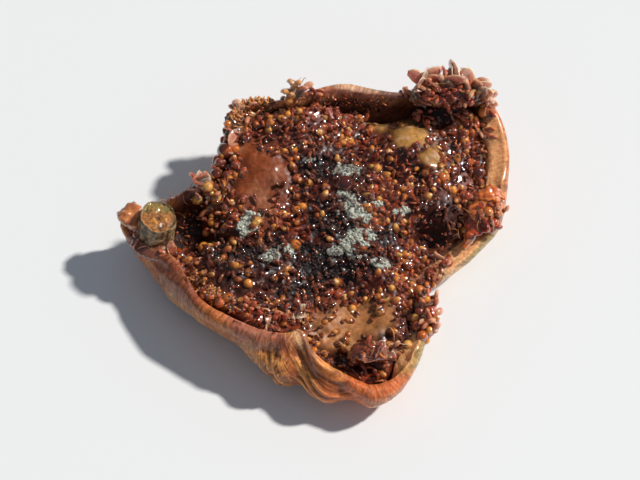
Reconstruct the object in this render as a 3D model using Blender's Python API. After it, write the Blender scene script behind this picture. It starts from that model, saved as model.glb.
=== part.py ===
# A ripe fig torn open and lying on its skin: the rind is an irregular bowl, the pulp with
# its drupelets and florets lines it, and the stub of the stalk stands at the left end.
# Lengths are in metres and +Z is up. Seen from -Y and above, the stalk is at the left.

import math
import random

import bmesh
import bpy
import numpy as np
from mathutils import Matrix, Vector, noise
from mathutils.bvhtree import BVHTree

MM = 0.001

# The point on the surface below the middle of the bowl, from which the rim is measured
CENTRE = (0.0 * MM, -4.0 * MM)

# The torn rim, anticlockwise from the right, along the middle of the lip. Each row holds x,
# y and height in mm, the slope that the wall ends at in degrees (90 is upright, and more
# leans in), its thickness in mm, how far down the inside the pulp's edge lies in mm, and
# how long the wall's last straight stretch is in mm.
RIM = (
    (28.1, 4.6, 8.4, 104, 1.8, 2.6, 0.4),
    (28.5, 8.7, 9.6, 104, 1.8, 3.2, 0.4),
    (27.9, 12.9, 11.0, 102, 1.8, 3.2, 0.4),
    (26.0, 16.2, 12.0, 98, 2.0, 1.6, 0.2),
    (22.2, 17.3, 12.6, 96, 2.0, 0.6, 0),
    (18.0, 17.3, 12.6, 96, 2.0, 1.2, 0),
    (13.2, 17.3, 12.6, 98, 2.0, 6.4, 0),
    (9.1, 17.7, 12.8, 98, 2.2, 6.4, 0),
    (4.8, 18.3, 13.2, 100, 2.4, 5.0, 0),
    (1.0, 17.9, 12.8, 98, 2.2, 1.6, 0),
    (-2.4, 16.9, 12.4, 95, 1.8, 0.6, 0),
    (-6.4, 16.1, 12.2, 95, 1.8, 0.5, 0),
    (-9.6, 16.0, 11.8, 95, 1.8, 0.5, 0),
    (-11.7, 14.8, 11.4, 97, 1.8, 0.6, 0),
    (-12.8, 12.2, 10.8, 98, 1.8, 0.8, 0),
    (-13.5, 9.2, 10.2, 98, 1.8, 0.8, 0),
    (-14.6, 5.8, 10.0, 98, 1.8, 0.8, 0),
    (-16.5, 3.5, 9.8, 98, 1.8, 0.9, 0),
    (-18.8, 2.2, 9.4, 96, 1.8, 4.0, 0),
    (-21.6, 0.6, 9.0, 92, 1.8, 9.0, 0),
    (-24.8, -0.7, 8.6, 86, 1.6, 12.0, 0),
    (-27.6, -1.1, 8.4, 80, 1.5, 13.0, 0),
    (-28.2, -2.4, 8.2, 82, 1.5, 13.0, 0),
    (-26.8, -5.0, 8.4, 94, 1.5, 12.0, 0.6),
    (-23.9, -7.7, 9.3, 110, 1.6, 8.0, 1.6),
    (-20.5, -9.2, 9.8, 124, 2.2, 3.0, 3.2),
    (-18.5, -12.6, 10.0, 122, 2.2, 0.8, 2.8),
    (-16.3, -16.6, 10.2, 106, 2.2, 0.6, 1.0),
    (-13.1, -18.9, 10.2, 105, 2.2, 0.6, 0.8),
    (-10.4, -20.3, 10.4, 108, 2.2, 0.6, 1.0),
    (-7.3, -21.6, 10.6, 124, 2.4, 0.6, 3.0),
    (-4.0, -22.2, 10.8, 136, 2.4, 0.6, 4.8),
    (-1.6, -21.8, 11.0, 140, 2.4, 1.0, 6.4),
    (-0.1, -24.5, 9.8, 138, 2.4, 2.2, 4.2),
    (2.7, -26.6, 9.0, 132, 2.6, 3.0, 2.8),
    (5.7, -28.0, 8.2, 124, 2.8, 3.2, 1.8),
    (8.5, -28.9, 7.8, 120, 2.8, 2.6, 1.2),
    (11.3, -27.9, 7.8, 114, 2.4, 2.2, 0.8),
    (13.4, -25.6, 8.2, 110, 2.0, 2.0, 0.6),
    (14.9, -22.4, 8.4, 110, 1.8, 1.0, 0.6),
    (15.9, -18.7, 7.8, 104, 1.8, 0.6, 0.2),
    (15.9, -15.2, 6.6, 92, 1.8, 0.5, 0),
    (15.6, -12.2, 5.4, 86, 1.8, 0.5, 0),
    (18.0, -10.4, 5.2, 84, 1.8, 1.6, 0),
    (21.0, -8.2, 5.6, 86, 1.8, 2.2, 0),
    (24.3, -5.0, 6.2, 92, 1.8, 2.4, 0),
    (26.8, -1.8, 7.0, 100, 1.8, 2.4, 0.2),
)
RIM_STEPS = 12

# The section of the wall: a dished floor, then an arc, then a straight stretch to the rim
FLOOR_POWER = 2.2
FLOOR_SLOPE = math.radians(12)
FLAT_SPOT = 0.35 * MM
LIP_SHARE = 0.08
GAP = 0.4 * MM
MOST_MOVES = 12

# Ribs of the skin run like meridians from the stalk to the eye, where the fruit has torn
STALK_POLE = (-27.0 * MM, -4.0 * MM)
EYE_POLE = (17.0 * MM, -12.0 * MM)
RIBS = 15
RIB_DEPTH = 0.28 * MM

# The wall is gathered into folds that fan out below the highest point of its near side
FOLD_ANGLE = math.radians(266)
FOLD_SPREAD = math.radians(34)
FOLDS = 4
FOLD_DEPTH = 1.1 * MM

# The bed of pulp: its height over the middle, and the humps and hollows in it as
# x, y, radius and rise in mm
BED_HEIGHT = 8.4 * MM
BED_LEAST = 1.2 * MM
PULP_EDGE = 1.6 * MM
STEEPEST_FLOOR = math.radians(60)
BED_FORMS = (
    (-8.6, 6.2, 4.6, 1.9),
    (13.4, 10.2, 4.4, 2.2),
    (17.2, 5.4, 4.0, 1.8),
    (19.8, -1.0, 3.4, 1.6),
    (4.6, 2.6, 5.0, 1.2),
    (-2.0, 11.0, 5.0, 1.4),
    (-13.0, -12.6, 4.0, 1.2),
    (10.5, -9.0, 4.0, 1.0),
    (-18.2, -3.0, 3.6, -3.2),
    (11.0, 14.6, 5.0, -2.6),
    (15.4, -4.6, 2.8, -2.2),
    (0.6, -11.4, 4.6, -1.6),
    (7.0, -15.6, 3.4, -1.8),
    (5.6, -21.8, 4.6, -1.6),
)
BED_LUMP = 4.2 * MM
BED_ROUGH = 0.55 * MM

# Drupelets: the seeded fruitlets that stand out of the pulp
DRUPELETS = 128
DRUPELET_RADIUS = 1.05 * MM
DRUPELET_APART = 2.35 * MM
DRUPELET_SINK = 0.25

# Tufts that stand this far out along the bed root at the height of the lip
RIM_TUFTS = 0.9

# Tufts of torn florets: x, y in mm, way they lean (degrees round, degrees from upright),
# how many, their length and width in mm, and how wide the tuft is in mm
TUFTS = (
    (24.6, 15.4, 40, 34, 7, 4.2, 1.5, 2.6),
    (21.0, 17.0, 80, 24, 9, 4.6, 1.5, 3.2),
    (17.2, 17.0, 105, 20, 7, 4.0, 1.5, 2.6),
    (-9.6, 14.6, 110, 34, 8, 3.2, 1.1, 2.6),
    (-5.6, 15.2, 95, 30, 5, 2.8, 1.1, 2.4),
    (-1.2, 15.6, 90, 20, 3, 3.0, 1.2, 1.8),
    (-14.6, 4.4, 140, 36, 6, 3.0, 1.4, 2.2),
    (14.6, -17.2, -10, 56, 5, 2.8, 1.5, 2.4),
    (13.8, -21.4, -20, 50, 4, 2.8, 1.5, 2.0),
    (8.8, -24.4, 90, 35, 5, 3.0, 1.6, 2.4),
    (-15.2, -14.0, 230, 20, 4, 2.2, 1.1, 2.2),
)

# Flaps of torn tissue that hang out over the rim on the right: x, y, height, length,
# width and thickness in mm, the way they point and how far they droop in degrees
FLAPS = (
    (25.2, 0.8, 9.5, 7.8, 4.4, 1.5, -8, 8),
    (21.6, -5.6, 7.8, 6.0, 3.4, 1.4, -48, 12),
)

# The stalk
STALK_FOOT = (-23.5 * MM, -4.7 * MM, 6.2 * MM)
STALK_LEAN = (0.10, 0.10, 1.0)
STALK_LENGTH = 6.1 * MM
STALK_RADIUS = 2.7 * MM
STALK_SIDES = 20
STALK_GAP = 0.3 * MM

# How finely the bodies are divided
RIND_SIDES, RIND_RINGS = 72, 28
PULP_SIDES, PULP_RINGS = 46, 26

SEED = 7


def rim_table():
    """Angle about CENTRE, then radius and height of the skin's top edge, slope, thickness,
    drop and straight stretch, all round."""
    rows = []
    for x, y, top, slope, thick, drop, straight in RIM:
        dx, dy = x * MM - CENTRE[0], y * MM - CENTRE[1]
        slope = math.radians(slope)
        rows.append((math.atan2(dy, dx), math.hypot(dx, dy) + thick / 2 * MM * math.sin(slope),
                     (top - thick / 2 * math.cos(slope)) * MM, slope, thick * MM, drop * MM, straight * MM))
    rows.sort()
    rows = np.array(rows)
    turn = np.zeros(rows.shape[1])
    turn[0] = 2 * math.pi
    ring = np.vstack([rows[-2:] - turn, rows, rows[:2] + turn])
    table = []
    for before, start, end, after in zip(ring, ring[1:], ring[2:], ring[3:]):
        for step in range(RIM_STEPS):
            t = step / RIM_STEPS
            table.append(0.5 * (2 * start + (end - before) * t
                                + (2 * before - 5 * start + 4 * end - after) * t**2
                                + (3 * start - before - 3 * end + after) * t**3))
    return np.array(table)


RIM_TABLE = rim_table()


def rim_at(angle):
    """Radius, height, slope, thickness, drop and straight stretch at these angles."""
    return [np.interp(angle, RIM_TABLE[:, 0], column, period=2 * math.pi)
            for column in RIM_TABLE.T[1:]]


def wall_arc(angle):
    """The floor's radius, the arc's radius, the arc's turn and the section's length."""
    radius, top, slope, _, _, straight = rim_at(angle)
    radius = radius - straight * np.cos(slope)
    top = top - straight * np.sin(slope)
    dish = math.tan(FLOOR_SLOPE) / FLOOR_POWER
    rise = math.cos(FLOOR_SLOPE) - np.cos(slope)
    run = np.sin(slope) - math.sin(FLOOR_SLOPE)
    floor = (radius * rise - top * run) / (rise - dish * run)
    bend = (top - dish * floor) / rise
    turn = slope - FLOOR_SLOPE
    return floor, bend, turn, floor + bend * turn + straight


def wall_section(angle, climb, inset):
    """Radius and height of the wall: climb is 0 under the middle and 1 at the rim."""
    floor, bend, turn, length = wall_arc(angle)
    along = climb * length
    share = np.minimum(along / floor, 1)
    slope = FLOOR_SLOPE + np.clip((along - floor) / bend, 0, turn)
    past = np.maximum(along - floor - bend * turn, 0)
    r = floor * share + bend * (np.sin(slope) - math.sin(FLOOR_SLOPE)) + past * np.cos(slope)
    z = (floor * math.tan(FLOOR_SLOPE) / FLOOR_POWER * share**FLOOR_POWER
         + bend * (math.cos(FLOOR_SLOPE) - np.cos(slope)) + past * np.sin(slope))
    tilt = np.where(along < floor, np.arctan(math.tan(FLOOR_SLOPE) * share ** (FLOOR_POWER - 1)), slope)
    return r - inset * np.sin(tilt), z + inset * np.cos(tilt)


def pulp_reach(angle):
    """How far along the wall's section the pulp's edge lies, as a climb."""
    return 1 - rim_at(angle)[4] / wall_arc(angle)[3]


def skin_relief(angle, climb, x, y):
    """How far ribs and folds push the skin in, or out where it is negative."""
    meridian = (np.arctan2(y - STALK_POLE[1], x - STALK_POLE[0])
                - np.arctan2(y - EYE_POLE[1], x - EYE_POLE[0]))
    ribs = RIB_DEPTH * (0.5 + 0.5 * np.cos(2 * RIBS * meridian))
    off = (angle - FOLD_ANGLE + math.pi) % (2 * math.pi) - math.pi
    fan = off / (0.45 + 0.55 * (1.6 - climb))
    inside = np.clip(1 - (fan / FOLD_SPREAD) ** 2, 0, 1)
    high = np.clip((climb - 0.35) / 0.3, 0, 1)
    folds = FOLD_DEPTH * inside * high * (0.15 + 0.5 * np.cos(math.pi * FOLDS * fan / FOLD_SPREAD))
    return (ribs * high + folds) * np.clip((1.02 - climb) / 0.1, 0, 1)


def rind_points(angle, climb, inner):
    """Points of the rind's outer skin, or of its inner face, with a rounded lip."""
    thick = rim_at(angle)[3]
    lip = np.clip((climb - 1 + LIP_SHARE) / LIP_SHARE, 0, 1)
    across = 0.5 * np.sqrt(1 - lip**2 * 0.9999)
    share = 0.5 + np.where(inner, across, -across)
    r, z = wall_section(angle, climb, thick * share)
    x = CENTRE[0] + r * np.cos(angle)
    y = CENTRE[1] + r * np.sin(angle)
    relief = np.where(inner, 0.0, skin_relief(angle, climb, x, y))
    r, z = wall_section(angle, climb, thick * share + relief)
    z = np.where(inner, z, np.maximum(z - FLAT_SPOT, 0.0))
    return np.stack([CENTRE[0] + r * np.cos(angle), CENTRE[1] + r * np.sin(angle), z], axis=-1)


def floor_height(angle, r):
    """Height of the rind's inner face, as seen from above, at this radius."""
    climbs = np.linspace(0, 1, 60)
    heights = np.empty_like(r)
    for i, (a, distance) in enumerate(zip(angle, r)):
        floor, bend, _, length = wall_arc(a)
        steep = (floor + bend * (STEEPEST_FLOOR - FLOOR_SLOPE)) / length
        section_r, section_z = wall_section(np.full(60, a), climbs * steep, rim_at(a)[3] + GAP)
        heights[i] = np.interp(distance, section_r, section_z)
    return heights


def bed_height(x, y):
    """Height of the bed of pulp away from its edge."""
    z = np.full(x.shape, BED_HEIGHT)
    for at_x, at_y, radius, rise in BED_FORMS:
        square = (x - at_x * MM) ** 2 + (y - at_y * MM) ** 2
        z = z + rise * MM * np.exp(-square / (radius * MM) ** 2)
    lumps = [noise.noise(Vector((a / BED_LUMP, b / BED_LUMP, 0.3))) for a, b in zip(x, y)]
    return z + BED_ROUGH * 2 * np.array(lumps)


def pulp_edge(angle):
    """Radius and height of the pulp's edge, which stands a little in from the wall."""
    return wall_section(angle, pulp_reach(angle), rim_at(angle)[3] + GAP + 0.5 * PULP_EDGE)


def pulp_points(angle, climb, upper):
    """Points of the pulp: its underside follows the rind, and its top is the bed."""
    edge_r, edge_z = pulp_edge(angle)
    under_r, under_z = wall_section(angle, climb * pulp_reach(angle), rim_at(angle)[3] + GAP)
    lip = np.clip((climb - 0.9) / 0.1, 0, 1) ** 2
    under_r = under_r * (1 - lip) + edge_r * lip
    under_z = under_z * (1 - lip) + edge_z * lip
    r = climb * edge_r
    x = CENTRE[0] + r * np.cos(angle)
    y = CENTRE[1] + r * np.sin(angle)
    rise = climb**5
    z = bed_height(x, y) * (1 - rise) + edge_z * rise
    z = np.maximum(z, floor_height(angle, r) + BED_LEAST * (1 - climb**8))
    r = np.where(upper, r, under_r)
    z = np.where(upper, z, under_z)
    return np.stack([CENTRE[0] + r * np.cos(angle), CENTRE[1] + r * np.sin(angle), z], axis=-1)


def add_to(collection, obj):
    """Moves an object from the scene's own collection to this one."""
    for old in obj.users_collection:
        old.objects.unlink(obj)
    collection.objects.link(obj)
    return obj


def moulded_sphere(name, sides, rings, shape):
    """A unit sphere whose vertices go where shape puts them: its equator becomes an edge."""
    bpy.ops.mesh.primitive_uv_sphere_add(segments=sides, ring_count=rings, radius=1)
    obj = bpy.context.object
    obj.name = obj.data.name = name
    points = np.array([v.co for v in obj.data.vertices])
    angle = np.arctan2(points[:, 1], points[:, 0])
    climb = np.clip(np.hypot(points[:, 0], points[:, 1]), 0, 1)
    moved = shape(angle, climb, points[:, 2] > 0)
    obj.data.vertices.foreach_set("co", moved.astype(np.float32).ravel())
    obj.data.update()
    return obj


def finish_material(obj, name, colour, roughness):
    """Gives a part its own Principled material and smooth shading."""
    material = bpy.data.materials.new(name)
    material.use_nodes = True
    shader = material.node_tree.nodes["Principled BSDF"]
    shader.inputs["Base Color"].default_value = (*colour, 1)
    shader.inputs["Roughness"].default_value = roughness
    shader.inputs["Metallic"].default_value = 0
    obj.data.materials.clear()
    obj.data.materials.append(material)
    obj.data.shade_smooth()


def bed_spot(angle, climb):
    """A point on top of the pulp, and the way that its surface faces."""
    step = 0.02
    a = np.array([angle, angle + step, angle])
    c = np.array([climb, climb, max(climb - step, 0.0)])
    spot, beside, inward = (Vector(p) for p in pulp_points(a, c, np.array([True] * 3)))
    return spot, (inward - spot).cross(spot - beside).normalized() * -1


def facing(direction, spin):
    """A turn that takes +Z to this direction, after a spin about it."""
    return direction.to_track_quat("Z", "Y").to_matrix().to_4x4() @ Matrix.Rotation(spin, 4, "Z")


def move_clear(bm, wall):
    """Moves a shape that is in the wall, or too near it, until it stands clear of it."""
    for _ in range(MOST_MOVES):
        worst, push = 0.0, None
        for v in bm.verts:
            spot, normal, _, _ = wall.find_nearest(v.co)
            lack = GAP - (v.co - spot).dot(normal)
            if lack > worst:
                worst, push = lack, normal * lack * 1.02
        if push is None:
            return
        bmesh.ops.translate(bm, vec=push, verts=bm.verts)


def new_mesh_object(name, collection, bm, wall):
    """Makes an object of this mesh, clear of the wall, in the collection."""
    move_clear(bm, wall)
    mesh = bpy.data.meshes.new(name)
    bm.to_mesh(mesh)
    bm.free()
    collection.objects.link(bpy.data.objects.new(name, mesh))


def add_drupelet(collection, wall, spot, direction, radius, draw):
    """One seeded fruitlet: a small many-sided bead with a flat root, sunk into the pulp."""
    bm = bmesh.new()
    bmesh.ops.create_icosphere(bm, subdivisions=1, radius=radius)
    length = draw.uniform(1.15, 1.5)
    for v in bm.verts:
        v.co.z *= length if v.co.z > 0 else 0.6
    turn = facing(direction, draw.uniform(0, 6.28))
    bmesh.ops.transform(bm, matrix=Matrix.Translation(spot + direction * radius * DRUPELET_SINK) @ turn,
                        verts=bm.verts)
    new_mesh_object("drupelet", collection, bm, wall)


def add_floret(collection, wall, root, direction, length, width, draw):
    """One torn floret: a tapered finger with its root in the pulp."""
    bm = bmesh.new()
    bmesh.ops.create_uvsphere(bm, u_segments=5, v_segments=4, radius=1)
    for v in bm.verts:
        narrow = 1 - 0.3 * max(v.co.z, 0)
        v.co = Vector((v.co.x * width / 2 * narrow, v.co.y * width / 2 * narrow, v.co.z * length / 2))
    turn = facing(direction, draw.uniform(0, 6.28))
    bmesh.ops.transform(bm, matrix=Matrix.Translation(root + direction * length * 0.22) @ turn, verts=bm.verts)
    new_mesh_object("floret", collection, bm, wall)


def polar(x, y):
    """Angle about CENTRE, and the share of the way to the pulp's edge, of a point."""
    angle = math.atan2(y - CENTRE[1], x - CENTRE[0])
    edge_r, _ = pulp_edge(angle)
    return angle, min(math.hypot(x - CENTRE[0], y - CENTRE[1]) / float(edge_r), 0.97)


def scatter_drupelets(collection, wall):
    """Beads at random over the bed, no two closer than DRUPELET_APART."""
    draw = random.Random(SEED)
    placed = []
    tries = 0
    while len(placed) < DRUPELETS and tries < 20000:
        tries += 1
        angle = draw.uniform(-math.pi, math.pi)
        climb = 0.93 * math.sqrt(draw.random())
        spot, normal = bed_spot(angle, climb)
        if any((spot - other).length < DRUPELET_APART for other in placed):
            continue
        placed.append(spot)
        lean = Vector((draw.gauss(0, 0.35), draw.gauss(0, 0.35), 0.3))
        add_drupelet(collection, wall, spot, (normal + lean).normalized(),
                     DRUPELET_RADIUS * draw.uniform(0.85, 1.2), draw)


def grow_tufts(collection, wall):
    """The tufts of torn florets round the rim and in the near pocket."""
    draw = random.Random(SEED + 1)
    for x, y, heading, lean, count, length, width, spread in TUFTS:
        for _ in range(count):
            at_x = (x + draw.uniform(-0.5, 0.5) * spread) * MM
            at_y = (y + draw.uniform(-0.5, 0.5) * spread) * MM
            angle, climb = polar(at_x, at_y)
            root, _ = bed_spot(angle, climb)
            if climb > RIM_TUFTS:
                root.z = max(root.z, rim_at(angle)[1] - 0.4 * MM)
            round_to = math.radians(heading + draw.uniform(-55, 55))
            tilt = math.radians(lean + draw.uniform(-12, 16))
            direction = Vector((math.cos(round_to) * math.sin(tilt),
                                math.sin(round_to) * math.sin(tilt), math.cos(tilt)))
            add_floret(collection, wall, root, direction, length * MM * draw.uniform(0.8, 1.2),
                       width * MM * draw.uniform(0.85, 1.15), draw)


def hang_flaps(collection, wall):
    """The flat tongues of torn tissue on the right."""
    for x, y, z, length, width, thick, heading, droop in FLAPS:
        bm = bmesh.new()
        bmesh.ops.create_uvsphere(bm, u_segments=10, v_segments=6, radius=1)
        bmesh.ops.scale(bm, vec=(length * MM / 2, width * MM / 2, thick * MM / 2), verts=bm.verts)
        turn = Matrix.Rotation(math.radians(heading), 4, "Z") @ Matrix.Rotation(math.radians(droop), 4, "Y")
        bmesh.ops.transform(bm, matrix=Matrix.Translation((x * MM, y * MM, z * MM)) @ turn, verts=bm.verts)
        new_mesh_object("flap", collection, bm, wall)


def stalk_body(name, radius, length, rise):
    """An uneven stub along the stalk's axis."""
    bpy.ops.mesh.primitive_cylinder_add(vertices=STALK_SIDES, radius=radius, depth=length)
    obj = bpy.context.object
    obj.name = obj.data.name = name
    for v in obj.data.vertices:
        angle = math.atan2(v.co.y, v.co.x)
        uneven = 1 + 0.05 * math.cos(2 * angle + 0.6) + 0.03 * math.cos(5 * angle)
        v.co = Vector((v.co.x * uneven, v.co.y * uneven, v.co.z + length / 2 - rise))
    turn = facing(Vector(STALK_LEAN).normalized(), 0)
    obj.data.transform(Matrix.Translation(STALK_FOOT) @ turn)
    return obj


def boolean(obj, name, operation, operand):
    """Adds an exact Boolean with an object or a whole collection."""
    modifier = obj.modifiers.new(name, "BOOLEAN")
    modifier.operation = operation
    modifier.solver = "EXACT"
    if isinstance(operand, bpy.types.Collection):
        modifier.operand_type = "COLLECTION"
        modifier.collection = operand
    else:
        modifier.object = operand
    return modifier


def apply_modifiers(obj):
    """Bakes the modifiers into the mesh, so that their helpers can be removed."""
    graph = bpy.context.evaluated_depsgraph_get()
    mesh = bpy.data.meshes.new_from_object(obj.evaluated_get(graph))
    obj.modifiers.clear()
    obj.data = mesh


def keep_largest_shell(obj):
    """Drops the loose scraps and fills the sealed hollows that a union leaves."""
    bm = bmesh.new()
    bm.from_mesh(obj.data)
    left = set(bm.verts)
    shells = []
    while left:
        shell = {left.pop()}
        edge_of_shell = list(shell)
        while edge_of_shell:
            for edge in edge_of_shell.pop().link_edges:
                for v in edge.verts:
                    if v in left:
                        left.remove(v)
                        shell.add(v)
                        edge_of_shell.append(v)
        shells.append(shell)
    shells.sort(key=len)
    bmesh.ops.delete(bm, geom=[v for shell in shells[:-1] for v in shell], context="VERTS")
    bm.to_mesh(obj.data)
    bm.free()


def centre_on_origin(parts, moved):
    """Shifts these objects so that the parts' box is centred on x = y = 0 and stands on z = 0."""
    bpy.context.view_layer.update()
    graph = bpy.context.evaluated_depsgraph_get()
    corners = np.array([corner for obj in parts for corner in obj.evaluated_get(graph).bound_box])
    low, high = corners.min(axis=0), corners.max(axis=0)
    shift = Vector((-(low[0] + high[0]) / 2, -(low[1] + high[1]) / 2, -low[2]))
    for obj in moved:
        obj.data.transform(Matrix.Translation(shift))
    print("shifted by", [round(side / MM, 3) for side in shift], "mm")


def clear_scene():
    for obj in list(bpy.data.objects):
        bpy.data.objects.remove(obj)


def main():
    clear_scene()
    fig = bpy.data.collections.new("fig")
    cutters = bpy.data.collections.new("cutters")
    repeats = bpy.data.collections.new("repeats")
    for collection in (fig, cutters, repeats):
        bpy.context.scene.collection.children.link(collection)

    rind = add_to(fig, moulded_sphere("rind", RIND_SIDES, RIND_RINGS, rind_points))
    pulp = add_to(fig, moulded_sphere("pulp", PULP_SIDES, PULP_RINGS, pulp_points))

    wall = BVHTree.FromPolygons([v.co for v in rind.data.vertices], [p.vertices for p in rind.data.polygons])
    scatter_drupelets(repeats, wall)
    grow_tufts(repeats, wall)
    hang_flaps(repeats, wall)
    boolean(pulp, "repeats", "UNION", repeats)
    bpy.context.view_layer.update()
    apply_modifiers(pulp)
    keep_largest_shell(pulp)
    for obj in list(repeats.objects):
        bpy.data.objects.remove(obj)
    bpy.data.collections.remove(repeats)

    stalk = add_to(fig, stalk_body("stalk", STALK_RADIUS, STALK_LENGTH, 0))
    socket = add_to(cutters, stalk_body("stalk_socket", STALK_RADIUS + STALK_GAP,
                                        STALK_LENGTH + 2 * STALK_GAP, STALK_GAP))
    socket.hide_render = True
    socket.display_type = "WIRE"
    for obj in (rind, pulp):
        boolean(obj, "stalk_socket", "DIFFERENCE", socket)

    centre_on_origin((rind, pulp, stalk), (rind, pulp, stalk, socket))
    finish_material(rind, "rind", (0.52, 0.22, 0.08), 0.4)
    finish_material(pulp, "pulp", (0.36, 0.08, 0.03), 0.25)
    finish_material(stalk, "stalk", (0.23, 0.18, 0.09), 0.8)


main()
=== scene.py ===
# %% [markdown]
# # A ripe fig, torn open
# A very ripe fig lies on its skin, torn open, with its wet pulp facing up. The fruit is an irregular
# bowl of rind. A bed of seeded fruitlets fills it, mould has settled on the middle, and the cut stub
# of the stalk stands at one end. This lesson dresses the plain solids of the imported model: each soft
# solid is replaced by a finer mesh that follows the same section.

# %% Load the frame and the tools
import itertools
import math
import random

import bmesh
import bpy
import numpy as np
from mathutils import Matrix, Vector
from mathutils.bvhtree import BVHTree


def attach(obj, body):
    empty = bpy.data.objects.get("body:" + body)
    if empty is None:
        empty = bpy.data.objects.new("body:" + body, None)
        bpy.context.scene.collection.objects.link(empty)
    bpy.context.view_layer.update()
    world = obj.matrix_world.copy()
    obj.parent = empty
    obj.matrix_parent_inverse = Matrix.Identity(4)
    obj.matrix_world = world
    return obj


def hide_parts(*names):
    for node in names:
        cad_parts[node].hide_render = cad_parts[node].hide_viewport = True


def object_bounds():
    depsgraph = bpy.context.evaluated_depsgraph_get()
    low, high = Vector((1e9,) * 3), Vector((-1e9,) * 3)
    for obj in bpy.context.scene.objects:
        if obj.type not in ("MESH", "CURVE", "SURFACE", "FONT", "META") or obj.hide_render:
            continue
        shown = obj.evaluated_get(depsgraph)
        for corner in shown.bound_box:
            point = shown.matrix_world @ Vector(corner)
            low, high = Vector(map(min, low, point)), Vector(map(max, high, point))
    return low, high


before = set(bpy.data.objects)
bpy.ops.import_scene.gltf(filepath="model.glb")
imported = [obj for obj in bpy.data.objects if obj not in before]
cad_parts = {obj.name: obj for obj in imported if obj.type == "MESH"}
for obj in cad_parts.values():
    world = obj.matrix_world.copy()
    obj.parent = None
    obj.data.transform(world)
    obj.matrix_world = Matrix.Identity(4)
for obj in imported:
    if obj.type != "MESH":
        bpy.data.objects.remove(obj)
cad_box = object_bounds()
MM = 0.001


def pick(sockets, name):
    """The live socket of this name, or the one of this number."""
    if isinstance(name, int):
        return sockets[name]
    return next(socket for socket in sockets if socket.name == name and socket.enabled)


def put(tree, kind, wires, out=None, **settings):
    """Adds a node, gives each input a value or a link, and returns the node or the output named."""
    node = tree.nodes.new(kind)
    for name, value in settings.items():
        setattr(node, name, value)
    for name, value in wires.items():
        socket = pick(node.inputs, name)
        if isinstance(value, bpy.types.NodeSocket):
            tree.links.new(value, socket)
        else:
            socket.default_value = value
    return pick(node.outputs, out) if out else node


box_mm = [[round(v / MM, 2) for v in corner] for corner in cad_box]
print("nodes:", sorted(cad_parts), "box in mm:", box_mm)

# %% [markdown]
# ## Camera, light and floor
# The fig was seen from the front and from 60 degrees above, with a long lens. The light is one small
# bright source from the right, a little behind and half way up, with a soft blue fill from all round.
# A small source is what makes the hundreds of pin-sharp glints on the wet pulp.

# %% Camera
TARGET = Vector((0.437, 4.841, 0.0)) * MM
ELEVATION = math.radians(60)
CAMERA_FAR = 300 * MM
LENS, SENSOR = 112, 36
WIDE, HIGH = 640, 480
FOCUS = WIDE * LENS / SENSOR

eye = TARGET + CAMERA_FAR * Vector((0, -math.cos(ELEVATION), math.sin(ELEVATION)))
camera_data = bpy.data.cameras.new("camera")
camera_data.lens = LENS
camera_data.sensor_width = SENSOR
camera_data.clip_start = 10 * MM
camera = bpy.data.objects.new("camera", camera_data)
camera.location = eye
camera.rotation_euler = (math.pi / 2 - ELEVATION, 0, 0)
bpy.context.scene.collection.objects.link(camera)
bpy.context.scene.camera = camera
AHEAD = np.array((0, math.cos(ELEVATION), -math.sin(ELEVATION)))
UPWARD = np.array((0, math.sin(ELEVATION), math.cos(ELEVATION)))


def in_view(points):
    """Where these points show in a view 640 wide and 480 high, across and down."""
    away = points - np.array(eye)
    depth = away @ AHEAD
    return WIDE / 2 + FOCUS * away[..., 0] / depth, HIGH / 2 - FOCUS * (away @ UPWARD) / depth


def line_of_sight(across, down):
    """The direction from the camera through this place in the view."""
    aim = AHEAD + UPWARD * (HIGH / 2 - down) / FOCUS
    aim[0] += (across - WIDE / 2) / FOCUS
    return Vector(aim).normalized()


def at_height(across, down, height):
    """The point at this height in mm that shows at this place in the view."""
    aim = line_of_sight(across, down)
    return eye + aim * ((height * MM - eye.z) / aim.z)


print("camera at", [round(v / MM, 1) for v in eye], "mm")

# %% Light and floor
SUN_FROM = Vector((0.95, 0.31, 1.07))
SUN_STRENGTH = 3.8
SUN_ANGLE = math.radians(4)
SUN_COLOUR = (1.0, 0.97, 0.93)
FILL_COLOUR = (0.80, 0.90, 1.06, 1)
FILL_STRENGTH = 0.25
FILL_IN_GLOSS = 0.08
FLOOR_SIZE, FLOOR_COLOUR, FLOOR_ROUGHNESS = 2.0, (0.80, 0.81, 0.81, 1), 0.5

sun_data = bpy.data.lights.new("key", "SUN")
sun_data.energy = SUN_STRENGTH
sun_data.angle = SUN_ANGLE
sun_data.color = SUN_COLOUR
sun = bpy.data.objects.new("key", sun_data)
sun.rotation_euler = SUN_FROM.to_track_quat("Z", "Y").to_euler()
bpy.context.scene.collection.objects.link(sun)

world = bpy.data.worlds.new("fill")
world.use_nodes = True
sky = world.node_tree
glossy = put(sky, "ShaderNodeLightPath", {}, "Is Glossy Ray")
dimmed = put(sky, "ShaderNodeMapRange", {"Value": glossy, "To Min": FILL_STRENGTH, "To Max": FILL_IN_GLOSS},
             "Result")
sky.nodes["Background"].inputs["Color"].default_value = FILL_COLOUR
sky.links.new(dimmed, sky.nodes["Background"].inputs["Strength"])
bpy.context.scene.world = world
bpy.context.scene.view_settings.view_transform = "Standard"

bpy.ops.mesh.primitive_plane_add(size=FLOOR_SIZE)
floor = bpy.context.object
floor.name = floor.data.name = "floor"
floor_paint = bpy.data.materials.new("floor_paint")
floor_paint.use_nodes = True
floor_shader = floor_paint.node_tree.nodes["Principled BSDF"]
floor_shader.inputs["Base Color"].default_value = FLOOR_COLOUR
floor_shader.inputs["Roughness"].default_value = FLOOR_ROUGHNESS
floor.data.materials.append(floor_paint)
print("floor and lights are in place")

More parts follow.
